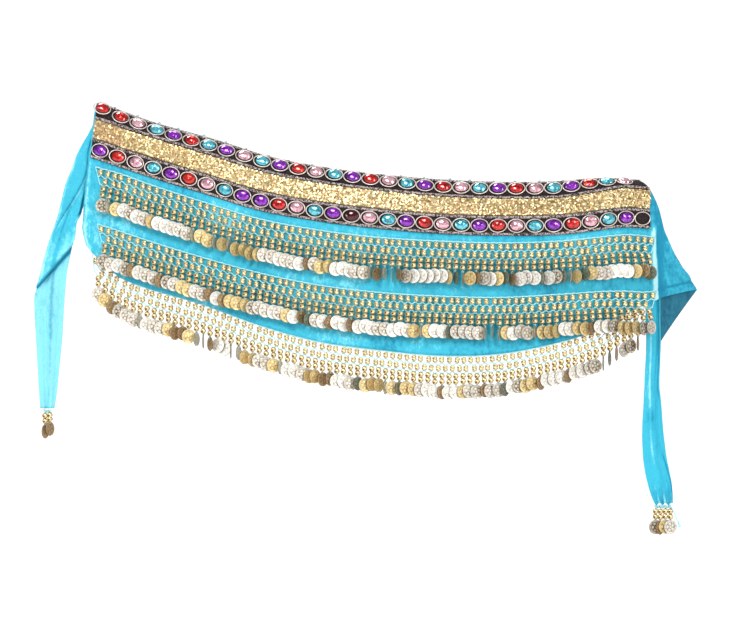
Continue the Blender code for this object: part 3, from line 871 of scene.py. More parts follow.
def strip_points(top, bottom, stand):
    """A grid of points on the cloth between two downs, moved out from it."""
    shares = share_of(np.linspace(0, LOWER_STONES, LOWER_STONES * CELL_STEPS + 1))
    share, down = np.meshgrid(shares, np.linspace(top, bottom, STRIP_ROWS))
    points, _, _, out = cloth_frame(share, down)
    return points + out * stand


def ribbon(row, s):
    """The black ground of a stone ribbon."""
    outer = strip_points(row.top_down + 0.2, row.top_down + RIBBON - 0.2, 1.5)
    form = Form()
    form.add(*thin_sheet(outer, 1.1))
    f = Finish("black_ribbon_" + row.name, Roughness=0.85, Specular_IOR_Level=0.12)
    weave = f.noise(700.0, 2.0, 0.6, f.stretched((1.0, 1.0, 2.6)))
    f.wire(f.ramp(weave, ((0.4, s.ribbon[:]), (0.72, (0.06, 0.045, 0.045)))), "Base Color")
    f.bumps(weave, 0.5, 0.0006)
    piece = form.make(row.name + "_ribbon", [f.material], replaces=[row.node], slot="gem_ribbon")
    cloth_sheet(outer)


def braids(row, s):
    """Plaited silver-grey edging on both sides of a ribbon: three cords over and under."""
    form = Form()
    length = LOWER_STONES * STONE_PITCH
    periods = round(length / BRAID_PERIOD)
    cell = np.linspace(0.02, LOWER_STONES - 0.02, periods * BRAID_STEPS + 1)
    phase = np.linspace(0, periods * 2 * math.pi, len(cell))
    for edge in (BRAID_FROM_EDGE, RIBBON - BRAID_FROM_EDGE):
        for k in range(3):
            swing = phase + k * 2 * math.pi / 3
            down = row.top_down + edge + BRAID_SWING * np.sin(swing)
            points, _, _, out = cloth_frame(share_of(cell), down)
            path = points + out * (2.0 + 0.45 * np.cos(2 * swing))[:, None]
            form.add(*tube_part(path, 0.5, 4, upright=(0, -1, 0.2)), tone=0.2 + 0.3 * k)
    f = Finish("braid_" + row.name, Metallic=0.35, Roughness=0.42)
    stops = ((0.0, (0.30, 0.24, 0.23)), (0.5, s.braid[:]), (1.0, (0.74, 0.62, 0.58)))
    worn = f.ramp(f.noise(520.0, 2.0, 0.7), ((0.44, (0.03, 0.02, 0.02)), (0.56, WHITE)))
    f.wire(f.mixed("MULTIPLY", 1.0, f.ramp(f.point_value("tone"), stops), worn), "Base Color")
    f.bumps(f.noise(1600.0, 2.0, 0.5), 0.3, 0.0005)
    form.make(row.name + "_braid", [f.material], slot="gem_ribbon")


def stone_template(long, tall, high, sides=16):
    """A faceted oval cabochon with its girdle at height 0, long along X and tall along Y."""
    rings = ((0.94, -0.7, 0.0), (1.0, 0.0, 0.0), (0.86, 0.45, 0.5), (0.55, 0.86, 0.0), (0.26, 1.0, 0.5))
    points = []
    for size, height, shift in rings:
        turn = (np.arange(sides) + shift) * 2 * math.pi / sides
        x, y = long * size * np.cos(turn), tall * size * np.sin(turn)
        points.append(np.stack([x, y, np.full(sides, high * height)], -1))
    points[0][:, 2] = -0.7
    # Low values on the underside and girdle paint shade there.
    relief_and_shade = np.repeat((0.0, 0.15, 0.75, 1.0, 1.0), sides)
    triangles = []
    for k in range(len(rings) - 1):
        for i in range(sides):
            j = (i + 1) % sides
            a, b, c, d = k * sides + i, k * sides + j, (k + 1) * sides + j, (k + 1) * sides + i
            triangles += [(a, b, d), (b, c, d)]
    caps = [np.arange(sides)[::-1][None], ((len(rings) - 1) * sides + np.arange(sides))[None]]
    return np.concatenate(points), [np.array(triangles)] + caps, relief_and_shade


def stone_places(row, count, shift=0.0):
    """Where each stone of a ribbon sits, with its axes: along, down and out."""
    chance = random.Random(41 + count)
    cell = row.first + np.arange(count) * row.pitch
    slip = np.array([chance.uniform(-shift, shift) for _ in range(count)])
    drop = np.array([chance.uniform(-shift, shift) for _ in range(count)]) * 0.6
    points, across, below, out = cloth_frame(share_of(cell), np.full(count, row.top_down + RIBBON / 2))
    points = points + across * slip[:, None] + below * drop[:, None]
    if row.name == "upper":
        points[0] += CORNER_STONE_SHIFT
    turn = np.radians([chance.uniform(-1, 1) * 4 for _ in range(count)])[:, None]
    u = across * np.cos(turn) + below * np.sin(turn)
    v = below * np.cos(turn) - across * np.sin(turn)
    return points, u, v, out


def settings(row, s):
    """Oval settings of silver cord, side by side along a ribbon."""
    form = Form()
    turn = np.linspace(0, 2 * math.pi, 33)[:-1]
    points, u, v, out = stone_places(row, row.stones)
    for k in range(row.stones):
        lift = 2.25 + 0.25 * np.cos(2 * turn)
        path = points[k] + u[k] * (s.oval_long / MM * np.cos(turn))[:, None]
        path = path + v[k] * (s.oval_tall / MM * np.sin(turn))[:, None] + out[k] * lift[:, None]
        form.add(*tube_part(path, s.oval_cord / MM, 7, closed=True, upright=out[k]), tone=0.5)
    stops = ((0.0, (0.5, 0.45, 0.4)), (1.0, (0.92, 0.86, 0.80)))
    silver = metal_finish("silver_cord_" + row.name, stops, 0.34, 0.7, 1400.0, 0.6)
    form.make(row.name + "_settings", [silver], slot="gem_ribbon")


def stones(row, s):
    """The oval stones of a ribbon, each a little off the middle of its setting."""
    form = Form()
    colours = {
        R: ((0.62, 0.014, 0.01), (0.26, 0.0, 0.0), (1.0, 0.22, 0.04)),
        P: ((0.80, 0.46, 0.52), (0.42, 0.17, 0.22), (1.0, 0.86, 0.88)),
        A: ((0.12, 0.56, 0.66), (0.02, 0.2, 0.27), (0.62, 0.95, 1.0)),
        V: ((0.27, 0.025, 0.50), (0.07, 0.0, 0.15), (0.62, 0.3, 0.9)),
        D: ((0.07, 0.0, 0.004), (0.02, 0.0, 0.0), (0.22, 0.02, 0.02)),
    }
    finishes = [stone_finish(name + "_stone_" + row.name, *kind) for name, kind in colours.items()]
    template = stone_template(s.stone_long / MM, s.stone_tall / MM, s.stone_high / MM)
    points, u, v, out = stone_places(row, row.stones, 0.5)
    points = points + u * 0.45 - v * 0.3
    for slot, name in enumerate(colours):
        chosen = [k for k, colour in enumerate(row.colours) if colour == name]
        if chosen:
            axes = np.stack([u[chosen], v[chosen], out[chosen]], 1)
            form.copies(template, points[chosen] + out[chosen] * 2.1, axes, slot)
    form.make(row.name + "_stones", finishes, sharp=5, slot="gem_ribbon")


def flake_template(radius):
    """A thin six-sided flake facing Z."""
    sides = np.arange(6)
    after = (sides + 1) % 6
    turn = sides * math.pi / 3
    ring = np.stack([radius * np.cos(turn), radius * np.sin(turn), np.zeros(6)], -1)
    points = np.concatenate([ring + (0, 0, 0.09), ring - (0, 0, 0.09)])
    rim = np.stack([sides, sides + 6, after + 6, after], -1)
    return points, [sides[None], sides[::-1][None] + 6, rim]


def sequins(s):
    """A gold ground with a dense layer of small tilted flakes."""
    ground = strip_points(DOWN["band_top"] + 0.3, DOWN["band_low"] - 0.3, 1.1)
    base = Form()
    base.add(*thin_sheet(ground, 0.8))
    f = Finish("gold_ground", Metallic=0.6, Roughness=0.5)
    grain = f.noise(800.0, 2.0, 0.6)
    f.wire(f.ramp(grain, ((0.35, (0.22, 0.12, 0.03)), (0.65, (0.62, 0.42, 0.14)))), "Base Color")
    f.bumps(grain, 0.6, 0.0008)
    piece = base.make("sequin_ground", [f.material], replaces=["sequin_band"], slot="sequins")
    cloth_sheet(ground)

    chance = np.random.default_rng(12)
    across, below = np.meshgrid(np.arange(SEQUIN_COLUMNS), np.arange(SEQUIN_ROWS))
    column = across.ravel() + 0.5 + chance.uniform(-0.55, 0.55, across.size)
    row = below.ravel() + 0.5 + chance.uniform(-0.5, 0.5, across.size)
    cell = np.clip(column * LOWER_STONES / SEQUIN_COLUMNS, 0.05, LOWER_STONES - 0.05)
    down = DOWN["band_top"] + SEQUIN_FROM_EDGE + row * (BAND - 2 * SEQUIN_FROM_EDGE) / SEQUIN_ROWS
    points, u, v, out = cloth_frame(share_of(cell), down)
    count = len(cell)
    tilt = np.abs(chance.normal(0, 0.42, count)).clip(0, 0.95)[:, None]
    way = chance.uniform(0, 2 * math.pi, count)[:, None]
    lean = u * np.cos(way) + v * np.sin(way)
    normal = unit(out * np.cos(tilt) + lean * np.sin(tilt))
    first = unit(np.cross(normal, v + u * 0.3))
    second = np.cross(normal, first)
    centres = points + out * chance.uniform(1.5, 2.7, count)[:, None]
    template = flake_template(s.sequin_wide / MM / 2)
    form = Form()
    tones = chance.uniform(0, 1, count)
    # Flakes at the left end, and the palest flakes within six stones of it, are made darker and browner.
    worn = (cell < DARK_PATCH_CELLS) & (tones > 0.2) & (chance.uniform(0, 1, count) < 0.75)
    tones = np.where(worn, tones * 0.25, np.where((cell < 6) & (tones > 0.8), tones - 0.5, tones))
    form.copies(template, centres, np.stack([first, second, normal], 1), 0, tones)
    f = Finish("holographic_sequins", Metallic=0.75, Roughness=0.36, Specular_IOR_Level=0.2)
    stops = (
        (0.00, (0.12, 0.05, 0.01)), (0.16, (0.46, 0.20, 0.03)), (0.36, (0.60, 0.38, 0.10)),
        (0.56, (0.64, 0.47, 0.16)), (0.72, (0.26, 0.30, 0.12)), (0.88, (0.80, 0.69, 0.40)),
        (1.00, (0.50, 0.19, 0.04)),
    )
    colour = f.ramp(f.point_value("tone"), stops)
    # Painted sheen, for the sequins' holographic shift: flakes facing the view are painted paler gold,
    # turned ones orange and then greener.
    weight = f.nodes.new("ShaderNodeLayerWeight")
    weight.inputs["Blend"].default_value = 0.35
    turned = ((0.1, (0.95, 0.84, 0.6)), (0.45, (0.9, 0.62, 0.3)), (0.8, (0.6, 0.72, 0.45)))
    shift = f.ramp(weight.outputs["Facing"], turned)
    f.wire(f.mixed("MIX", 0.3, colour, shift), "Base Color")
    f.bumps(f.noise(900.0, 1.0, 0.5), 0.2, 0.0004)
    form.make("sequin_flakes", [f.material], sharp=30, slot="sequins")


def edge_knots():
    """Small thread knots along the top edge, and the thread that runs between them."""
    form = Form()
    cell = np.linspace(0.1, LOWER_STONES - 0.8, 420)
    points, _, below, out = cloth_frame(share_of(cell), np.full(len(cell), 0.3))
    path = points - below * (0.2 + 0.35 * np.sin(cell * 31))[:, None] + out * 0.2
    form.add(*tube_part(path, 0.45, 5, upright=(0, -1, 0)))
    knots = np.arange(0.95, LOWER_STONES - 2.2, 1.27)
    chance = random.Random(5)
    for place in knots:
        place += chance.uniform(-0.12, 0.12)
        p, u, v, out = (value[0] for value in cloth_frame(share_of(np.array([place])), np.array([0.2])))
        turn = np.linspace(0, 2 * math.pi, 13)[:-1]
        size = chance.uniform(0.9, 1.35)
        loop = p + u * (size * np.cos(turn))[:, None] - v * (0.9 + 1.1 * size * np.sin(turn))[:, None]
        loop = loop + out * (0.4 * np.sin(2 * turn))[:, None]
        form.add(*tube_part(loop, 0.55, 6, closed=True, upright=out))
    grey = thread_finish("picot_thread", (0.10, 0.26, 0.28), (0.26, 0.42, 0.44))
    form.make("edge_knots", [grey], slot="gem_ribbon")


# The nets, their beads and coins

Coin = namedtuple("Coin", "turn tone clean")
# Each kind's tone paints the coin's reflection by how it is turned: face-on coins pale, as if mirroring the
# lamp, turned ones darker, edge-on ones pale from the velvet beside them; only the small random spread is
# the coins' own.
COIN_KINDS = {
    "W": Coin(17, 0.99, 0.3),
    "S": Coin(23, 0.88, 0.14),
    "K": Coin(20, 0.76, 0.0),
    "G": Coin(26, 0.52, 0.22),
    "O": Coin(50, 0.45, 0.35),
    "B": Coin(57, 0.22, 0.2),
    "D": Coin(60, 0.04, 0.2),
    "I": Coin(81, 0.64, 0.3),
}


def coin_row(kinds, chance):
    """Each coin's turn in degrees, tone and cleanness, for a row of letters of COIN_KINDS."""
    rows = []
    side = 1
    for k, kind in enumerate(kinds):
        coin = COIN_KINDS[kind]
        turn = coin.turn + (0 if kind == "I" else chance.uniform(-4, 4))
        if kinds[k - 1:k + 1] == "II":
            side = -side
        turn = turn if side > 0 else 180 - turn
        rows.append((turn, coin.tone + chance.uniform(-0.03, 0.03), coin.clean))
    return np.array(rows).T


def net_points(net, share, down, stand):
    """Points of a net, down from its top line, with the ways out of it and along it."""
    share = np.asarray(share, float)
    part = np.asarray(down, float) / NET_TALL
    top = net.left + (net.right - net.left) * share
    low = top + net.draw_in * (1 - 2 * share)
    x = top + (low - top) * np.clip(part, 0, 1)
    z = along(net.line, top) * (1 - part) + (along(net.line, low) - NET_TALL) * part
    z = z - (SEAM if net.line == "hem" else 0)
    out, tangent = facing(x)
    return front(x, 0) + out * np.reshape(stand, (-1, 1)) + z[:, None] * np.array((0, 0, 1.0)), out, tangent


def turned_bead(half, sides, scale=1.0):
    """A bead turned round Z from (height, radius, relief) rows of its upper half."""
    lower = [(-z, r, low) for z, r, low in reversed(half) if z > 0]
    rows = np.array([*half, *lower])[::-1]
    points, faces = turned_part(rows[:, 1::-1] * scale, sides)
    return points, faces, np.repeat(rows[:, 2], sides)


def barrel_bead():
    """A bead of two bulges with painted dark spots round each of them, for shade and dark reflections, and
    its hole along Z.
    """
    half = (
        (3.1, 0.9, 0.2), (2.95, 2.0, 0.7), (2.4, 2.8, 1.0),
        (1.5, 2.95, 1.0), (0.6, 2.75, 1.0), (0.0, 2.4, 0.4),
    )
    points, faces, relief_and_shade = turned_bead(half, 16)
    relief_and_shade = relief_and_shade.reshape(-1, 16)
    # Dark spots painted round the widest ring of each bulge stand for shade and dark reflections; the
    # darker waist and hole ends paint shade.
    relief_and_shade[3, (1, 2, 5, 6, 10, 11, 14)] = -0.5
    relief_and_shade[7, (1, 5, 6, 10, 11, 14, 15)] = -0.5
    return points, faces, relief_and_shade.ravel()


def round_bead(radius):
    """A round bead with painted shade round each end of its hole, and painted dark reflections round its
    middle.
    """
    half = ((1.0, 0.25, 0.0), (0.93, 0.5, 0.0), (0.72, 0.76, 0.7), (0.36, 0.97, 1.0), (0.0, 1.04, 1.0))
    points, faces, relief_and_shade = turned_bead(half, 16, radius)
    relief_and_shade = relief_and_shade.reshape(-1, 16)
    # Dark spots painted round the middle stand for dark reflections.
    relief_and_shade[4, (1, 2, 5, 6, 9, 10, 13, 14)] = -0.5
    relief_and_shade[5, (5, 6, 13, 14)] = -0.2
    return points, faces, relief_and_shade.ravel()


def coin_template(radius, sides=20):
    """A thin struck coin facing Z: a beaded rim round a plain rosette, and a dot at its heart."""
    turn = np.arange(sides) * 2 * math.pi / sides
    petals = np.cos(turn * 5)
    beads = np.cos(turn * 10)
    flat = np.zeros(sides)
    rings = (
        (0.10, 0.62 + flat, 1.0 + flat), (0.19, 0.34 + flat, 0.0 + flat),
        (0.34, 0.50 + 0.16 * petals, 0.5 + 0.5 * petals), (0.53, 0.44 + 0.2 * petals, 0.45 + 0.55 * petals),
        (0.64, 0.26 + flat, 0.05 + flat), (0.75, 0.34 + flat, 0.6 + flat),
        (0.83, 0.44 + 0.16 * beads, 0.4 + 0.6 * beads), (0.94, 0.56 + flat, 1.0 + flat),
        # The outer edge's low relief paints a dark outline for the shade between overlapping coins; the low
        # rings inside carry patina.
        (1.0, 0.30 + flat, -0.4 + flat),
    )
    points, relief_and_shade = [], []
    for side, order in ((1, rings), (-1, rings[::-1])):
        for size, height, raised in order:
            x, y = radius * size * np.cos(turn), radius * size * np.sin(turn)
            points.append(np.stack([x, y, side * height], -1))
            relief_and_shade.append(raised)
    quads = grid_quads(len(points), sides, around=True)
    first = np.arange(sides)[::-1][None]
    last = ((len(points) - 1) * sides + np.arange(sides))[None]
    return np.concatenate(points), [quads, first, last], np.concatenate(relief_and_shade)


def strand_places(net):
    """Root, ways out and along, coin stand, turn, shift, tone and cleanness of each strand."""
    chance = random.Random(net.seed + 1)
    share = (np.arange(STRANDS) + 0.5) / STRANDS
    roots, out, tangent = net_points(net, share, np.full(STRANDS, NET_TALL), np.full(STRANDS, net.stand))
    turns, tones, clean = coin_row(net.coins, chance)
    shifts = np.array([chance.uniform(-1.2, 1.2) for _ in range(STRANDS)])
    if net.line == "hem":
        stands = np.full(STRANDS, -1.0)
    else:
        stands = np.maximum(COIN_STAND - net.stand, COIN_HALF * np.sin(np.radians(turns)) - 0.2)
    return roots, out, tangent, stands, turns, shifts, tones, clean


def coin_axes(out, tangent, turns, sway):
    """The axes of coins: along the face, down it and out of it."""
    lie = np.radians(np.where(turns <= 90, turns, turns - 180))[:, None]
    u = tangent * np.cos(lie) - out * np.sin(lie)
    normal = out * np.cos(lie) + tangent * np.sin(lie)
    down = np.array((0, 0, -1.0))
    swing = np.radians(sway)[:, None]
    v = unit(down * np.cos(swing) + u * np.sin(swing))
    return np.stack([unit(np.cross(v, normal)), v, normal], 1)


def up_axes(along_bead):
    """Axes whose Z runs along each bead's hole."""
    z = unit(along_bead)
    x = unit(np.cross(z, np.array((0.13, -0.99, 0.05))))
    return np.stack([x, np.cross(z, x), z], 1)


def add_strands(beads, coins, threads, places, s, chance):
    """Two round beads and a coin on each strand, with the thread through them."""
    roots, out, tangent, stands, turns, shifts, tones, clean = places
    count = len(roots)
    radius = s.bead_radius / MM
    sway = np.array([chance.uniform(-7, 7) for _ in range(count)])
    drop = BEADS_LONG + shifts
    down = np.array((0, 0, -1.0))
    ends = roots + out * stands[:, None] + down * drop[:, None]
    ends = ends + tangent * np.array([chance.uniform(-0.45, 0.45) for _ in range(count)])[:, None]
    for part in (0.26, 0.72):
        centres = roots + (ends - roots) * part
        bead_tones = [chance.random() for _ in range(count)]
        beads.copies(round_bead(radius), centres, up_axes(ends - roots), 0, bead_tones)
    axes = coin_axes(out, tangent, turns, sway)
    coin_middle = ends + axes[:, 1] * COIN_HALF
    coins.copies(coin_template(s.coin_radius / MM), coin_middle, axes, 0, tones, clean)
    for k in range(count):
        hole = ends[k] + axes[k, 1] * 1.5
        side, face = axes[k, 0], axes[k, 2]
        path = [roots[k] - down * 0.6, roots[k] + (ends[k] - roots[k]) * 0.5, ends[k]]
        threads.add(*tube_part(np.array(path), 0.42, 4, upright=(1, 0.1, 0)))
        turn = np.linspace(0, 2 * math.pi, 9)[:-1]
        ring = hole - axes[k, 1] * 0.9 + face * (0.95 * np.cos(turn))[:, None]
        ring = ring + axes[k, 1] * (1.35 * np.sin(turn))[:, None]
        threads.add(*tube_part(ring, 0.32, 4, closed=True, upright=side))


def net_threads(net, threads):
    """The selvedge, the two wavy threads and the slanting thread at each end."""
    steps = STRANDS * 6
    share = np.linspace(0, 1, steps + 1)
    wave = share * STRANDS * 2 * math.pi
    for down, swing, stand in ((0.2, 0.2, 0.5), (9.2, 1.15, 1.2), (18.3, 1.15, 1.2)):
        for lay in (-1, 1):
            depth = down + swing * np.cos(wave) * (1 if down < 10 else -1) + lay * 0.26
            stands = net.stand + stand * 0.3 + 0.35 * lay * np.cos(wave * 2)
            path, _, _ = net_points(net, share, depth, stands)
            threads.add(*tube_part(path, 0.42, 4, upright=(0, -1, 0.1)))
    for end in (0.0, 1.0):
        down = np.linspace(0, NET_TALL, 10)
        path, _, _ = net_points(net, np.full(10, end), down, np.full(10, net.stand))
        threads.add(*tube_part(path, 0.5, 5, upright=(0, -1, 0)))


def make_net(net, s):
    """One net with its beads, threads, strands and coins, as three joined meshes."""
    chance = random.Random(net.seed + 20)
    beads, coins, threads = Form(), Form(), Form()
    rows = ((4.5, 0.5, STRANDS), (13.8, 1.0, STRANDS - 1))
    for down, start, count in rows:
        share = (np.arange(count) + start) / STRANDS
        share = share + np.array([chance.uniform(-0.12, 0.12) for _ in range(count)]) / STRANDS
        stand = np.full(count, net.stand) + np.array([chance.uniform(-0.2, 0.3) for _ in range(count)])
        points, out, tangent = net_points(net, share, np.full(count, down), stand)
        lean = np.array([chance.uniform(-0.16, 0.16) for _ in range(count)])[:, None]
        upright = np.array((0, 0, 1.0)) + tangent * lean
        tones = [chance.random() for _ in range(count)]
        beads.copies(barrel_bead(), points, up_axes(upright), 0, tones)
        for p, up in zip(points, upright):
            ends = np.array([p - up * 4.4, p, p + up * 4.4])
            threads.add(*tube_part(ends, 0.4, 4, upright=(0, -1, 0)))
    net_threads(net, threads)
    add_strands(beads, coins, threads, strand_places(net), s, chance)
    gold, plated, cord = metal_set(s)
    beads.make(net.name + "_beads", [gold], sharp=50, replaces=[net.name], slot="gold_beads")
    coins.make(net.name + "_coins", [plated], sharp=35, slot="gold_beads")
    threads.make(net.name + "_threads", [cord], slot="gold_beads")


def metal_set(s):
    """The finishes of beads, coins and net thread, made once."""
    found = bpy.data.materials.get("gold_bead")
    if found is None:
        gold = tuple(s.gold)
        warm = tuple(value * 0.86 for value in gold)
        metal_finish("gold_bead", ((0.0, warm), (1.0, gold)), 0.25, 0.65, 1100.0, 0.2)
        # The coin stops are painted reflections: dark olive for coins that mirror the cloth, gold between,
        # pale silver for coins that mirror the lamp.
        stops = (
            (0.0, (0.22, 0.28, 0.21)), (0.2, (0.44, 0.30, 0.16)), (0.42, (0.70, 0.54, 0.25)),
            (0.54, (0.74, 0.59, 0.29)), (0.64, (0.66, 0.66, 0.55)), (0.76, (0.56, 0.52, 0.43)),
            (0.88, (0.70, 0.66, 0.58)), (1.0, (0.76, 0.75, 0.69)),
        )
        metal_finish("coin_plating_and_reflection", stops, 0.4, 0.55, 900.0, 0.4)
        thread_finish("net_thread", s.thread[:], s.thread_light[:])
    return [bpy.data.materials[name] for name in ("gold_bead", "coin_plating_and_reflection", "net_thread")]


# The tassels

Tassel = namedtuple("Tassel", "name left wide top depth coins drops")
TASSELS = [
    Tassel("left_tassel", -363.5, 11, -231.5, 103.6, "BB", (0.0, -3.0)),
    Tassel("right_tassel", 309.5, 21.5, -336.5, 44, "KBGS", (0, 0.6, -0.5, 0)),
]
HEAD_TALL = 4.0


def tassel(kind, s):
    """A gathered thread head with its strands of beads and coins."""
    chance = random.Random(len(kind.coins))
    beads, coins, threads = Form(), Form(), Form()
    cells = len(kind.coins)
    x = kind.left + kind.wide * (np.arange(cells) + 0.5) / cells
    y = np.full(cells, kind.depth + FRONT_Y)
    roots = np.stack([x, y, np.full(cells, kind.top - HEAD_TALL + 1.3)], -1)
    out = np.tile(np.array((0, -1.0, 0)), (cells, 1))
    tangent = np.tile(np.array((1.0, 0, 0)), (cells, 1))
    turns, tones, clean = coin_row(kind.coins, chance)
    drops = np.array(kind.drops, float)
    places = (roots, out, tangent, np.zeros(cells), turns, drops, tones, clean)
    add_strands(beads, coins, threads, places, s, chance)
    wrap = np.linspace(0, cells * 5 * math.pi, cells * 40)
    wrap_x = kind.left + 1.2 + (kind.wide - 2.4) * np.linspace(0, 1, len(wrap))
    path = np.stack([
        wrap_x, kind.depth + FRONT_Y + 1.5 * np.cos(wrap),
        kind.top - 0.8 + 1.3 * np.sin(wrap) + 0.5 * np.sin(wrap * 0.37),
    ], -1)
    threads.add(*tube_part(path, 0.75, 5, upright=(0.2, 0, 1)))
    gold, plated, cord = metal_set(s)
    beads.make(kind.name + "_beads", [gold], sharp=50, replaces=[kind.name], slot="gold_beads")
    coins.make(kind.name + "_coins", [plated], sharp=35, slot="gold_beads")
    threads.make(kind.name + "_threads", [cord], slot="gold_beads")


def loose_thread(s):
    """The short knotted tail at the right tassel and the small loop on the tie's edge."""
    form = Form()
    y = 44 + FRONT_Y
    tail = np.array([
        (329.5, y, -338), (331.5, y - 0.8, -341.5), (333.5, y - 1.0, -346),
        (336, y - 0.6, -352), (338, y, -357),
    ])
    form.add(*tube_part(tail, (0.8, 0.65, 0.6, 0.65, 0.9), 6, upright=(0, -1, 0)))
    knot = turned_part([(0.5, -1.9), (1.5, -1.1), (1.9, 0.1), (1.3, 1.3), (0.5, 1.9)], 8)
    form.copies(knot, np.array([(338.3, y, -358.2)]), up_axes(np.array([(0.35, 0.1, -1.0)])))
    turn = np.linspace(0.2, math.pi * 1.15, 14)
    loop = np.stack([303.5 - 2.4 * np.sin(turn), np.full(14, y - 1.5), -319 + 6.5 * np.cos(turn)], -1)
    form.add(*tube_part(loop, 0.45, 5, upright=(0, -1, 0)))
    _, _, cord = metal_set(s)
    form.make("loose_thread", [cord], slot="gold_beads")


# The stage

def stage(s):
    """A pale floor that sweeps up into a low backdrop, soft lights and the camera."""
    near, start, bend, rise = -20000.0, 1000.0, 2600.0, 790.0
    turn = np.linspace(0, math.acos(1 - rise / bend), 40)
    y = np.concatenate([[near], start + bend * np.sin(turn)])
    z = np.concatenate([[0.0], bend * (1 - np.cos(turn))]) + FLOOR_Z
    x = np.array([-6000.0, 6000.0])
    points = np.stack([np.broadcast_to(a, (len(y), 2)) for a in (x[None], y[:, None], z[:, None])], -1)
    mesh = bpy.data.meshes.new("studio_sweep")
    mesh.from_pydata((points.reshape(-1, 3) * MM).tolist(), [], grid_quads(len(y), 2).tolist())
    mesh.shade_smooth()
    sweep = bpy.data.objects.new("studio_sweep", mesh)
    bpy.context.scene.collection.objects.link(sweep)
    f = Finish("pale_paper", Roughness=0.9)
    grain = f.noise(3.0, 2.0, 0.5)
    f.wire(f.ramp(grain, ((0.3, (0.86, 0.83, 0.835)), (0.7, (0.90, 0.88, 0.885)))), "Base Color")
    mesh.materials.append(f.material)

    def lamp(name, place, size, watts, colour=(1, 1, 1), target=(0.0, 0.0, -0.1)):
        data = bpy.data.lights.new(name, "AREA")
        data.shape = "DISK"
        data.size = size
        data.energy = watts
        data.color = colour
        light = bpy.data.objects.new(name, data)
        light.location = place
        light.rotation_euler = vector_angles(np.array(target) - np.array(place))
        bpy.context.scene.collection.objects.link(light)

    lamp("key_light", (-0.9, -2.4, 2.0), 1.3, 80 * s.light)
    lamp("front_light", (1.4, -3.2, 0.9), 1.4, 52 * s.light)
    lamp("right_light", (2.3, -0.8, 0.5), 0.8, 14 * s.light, (1.0, 0.97, 0.93))
    lamp("left_light", (-2.3, -0.9, 0.1), 0.8, 12 * s.light)
    lamp("back_light", (-0.6, 1.3, 1.6), 1.0, 26 * s.light)
    lamp("backdrop_light", (0.0, 0.9, 1.9), 1.2, 30 * s.light, target=(0.0, 2.5, -0.1))
    world = bpy.data.worlds.new("pale_room")
    world.use_nodes = True
    world.node_tree.nodes["Background"].inputs["Color"].default_value = (0.93, 0.95, 1.0, 1.0)
    world.node_tree.nodes["Background"].inputs["Strength"].default_value = s.room_light
    bpy.context.scene.world = world
    bpy.context.scene.view_settings.view_transform = "Standard"

    camera = bpy.data.cameras.new("photo_view")
    camera.sensor_width = 36.0
    camera.lens = 36.0 * CAMERA_FAR / (750 * PIXEL)
    camera.clip_end = 100.0
    seen = bpy.data.objects.new("photo_view", camera)
    seen.location = (VIEW_MIDDLE[0] * MM, -CAMERA_FAR * MM, VIEW_MIDDLE[1] * MM)
    seen.rotation_euler = (math.pi / 2, 0, 0)
    bpy.context.scene.collection.objects.link(seen)
    bpy.context.scene.camera = seen


def vector_angles(way):
    """The rotation that points an object's -Z along a direction."""
    return Vector(way).to_track_quat("-Z", "Y").to_euler()


# The add-on: what a user may change, and the steps

def length(name, text, value):
    """A size that a user may change."""
    return FloatProperty(name=name, description=text, default=value, unit="LENGTH", subtype="DISTANCE")


def colour(name, text, value):
    """A colour that a user may change."""
    return FloatVectorProperty(
        name=name, description=text, default=value, size=3, subtype="COLOR", min=0, max=1
    )


def brightness(name, text, value):
    """A strength that a user may change."""
    return FloatProperty(name=name, description=text, default=value, min=0.0)


class ScarfClothSettings(bpy.types.PropertyGroup):
    """The velvet's size and colours."""

    cloth_thick: length("Velvet thickness", "How thick the velvet is", 0.0012)
    velvet: colour("Velvet", "The velvet's main colour", (0.045, 0.45, 0.60))
    # nap_light and nap_dark_and_shade are also the colours that painted highlights and painted shade reach
    # on the cloth and the ties.
    nap_light: colour("Nap, light", "The velvet where its nap catches the light", (0.24, 0.74, 0.84))
    nap_dark_and_shade: colour("Nap, dark", "The velvet where its nap is brushed away", (0.008, 0.24, 0.38))
    tie_pale: colour("Tie, wrong side", "The paler wrong side of the left tie", (0.23, 0.66, 0.75))
    tie_light: colour("Tie, light", "Where a tie catches the light", (0.36, 0.80, 0.88))
    right_tie: colour("Right tie", "The right tie's main colour", (0.04, 0.46, 0.62))
    wrong_side: colour("Wrong side", "The shaded wrong side at the right fold", (0.02, 0.16, 0.24))
    wrong_light: colour("Wrong side, light", "The wrong side near its open edge", (0.04, 0.24, 0.34))
    wrong_dark: colour("Wrong side, dark", "The wrong side in the fold", (0.005, 0.08, 0.14))


class ScarfTrimSettings(bpy.types.PropertyGroup):
    """The sizes of stones, settings and sequins, and the ribbons' colours."""

    stone_long: length("Stone half length", "Half the long side of a stone", 0.0078)
    stone_tall: length("Stone half height", "Half the short side of a stone", 0.0059)
    stone_high: length("Stone rise", "How far a stone's top stands over its girdle", 0.0033)
    oval_long: length("Setting half length", "Half the long side of a setting", 0.0096)
    oval_tall: length("Setting half height", "Half the short side of a setting", 0.0072)
    oval_cord: length("Setting cord radius", "The radius of a setting's cord", 0.00058)
    sequin_wide: length("Sequin width", "The width of one sequin", 0.0021)
    ribbon: colour("Ribbon", "The ribbon's ground", (0.006, 0.003, 0.003))
    braid: colour("Braid", "The plaited edging", (0.52, 0.44, 0.42))


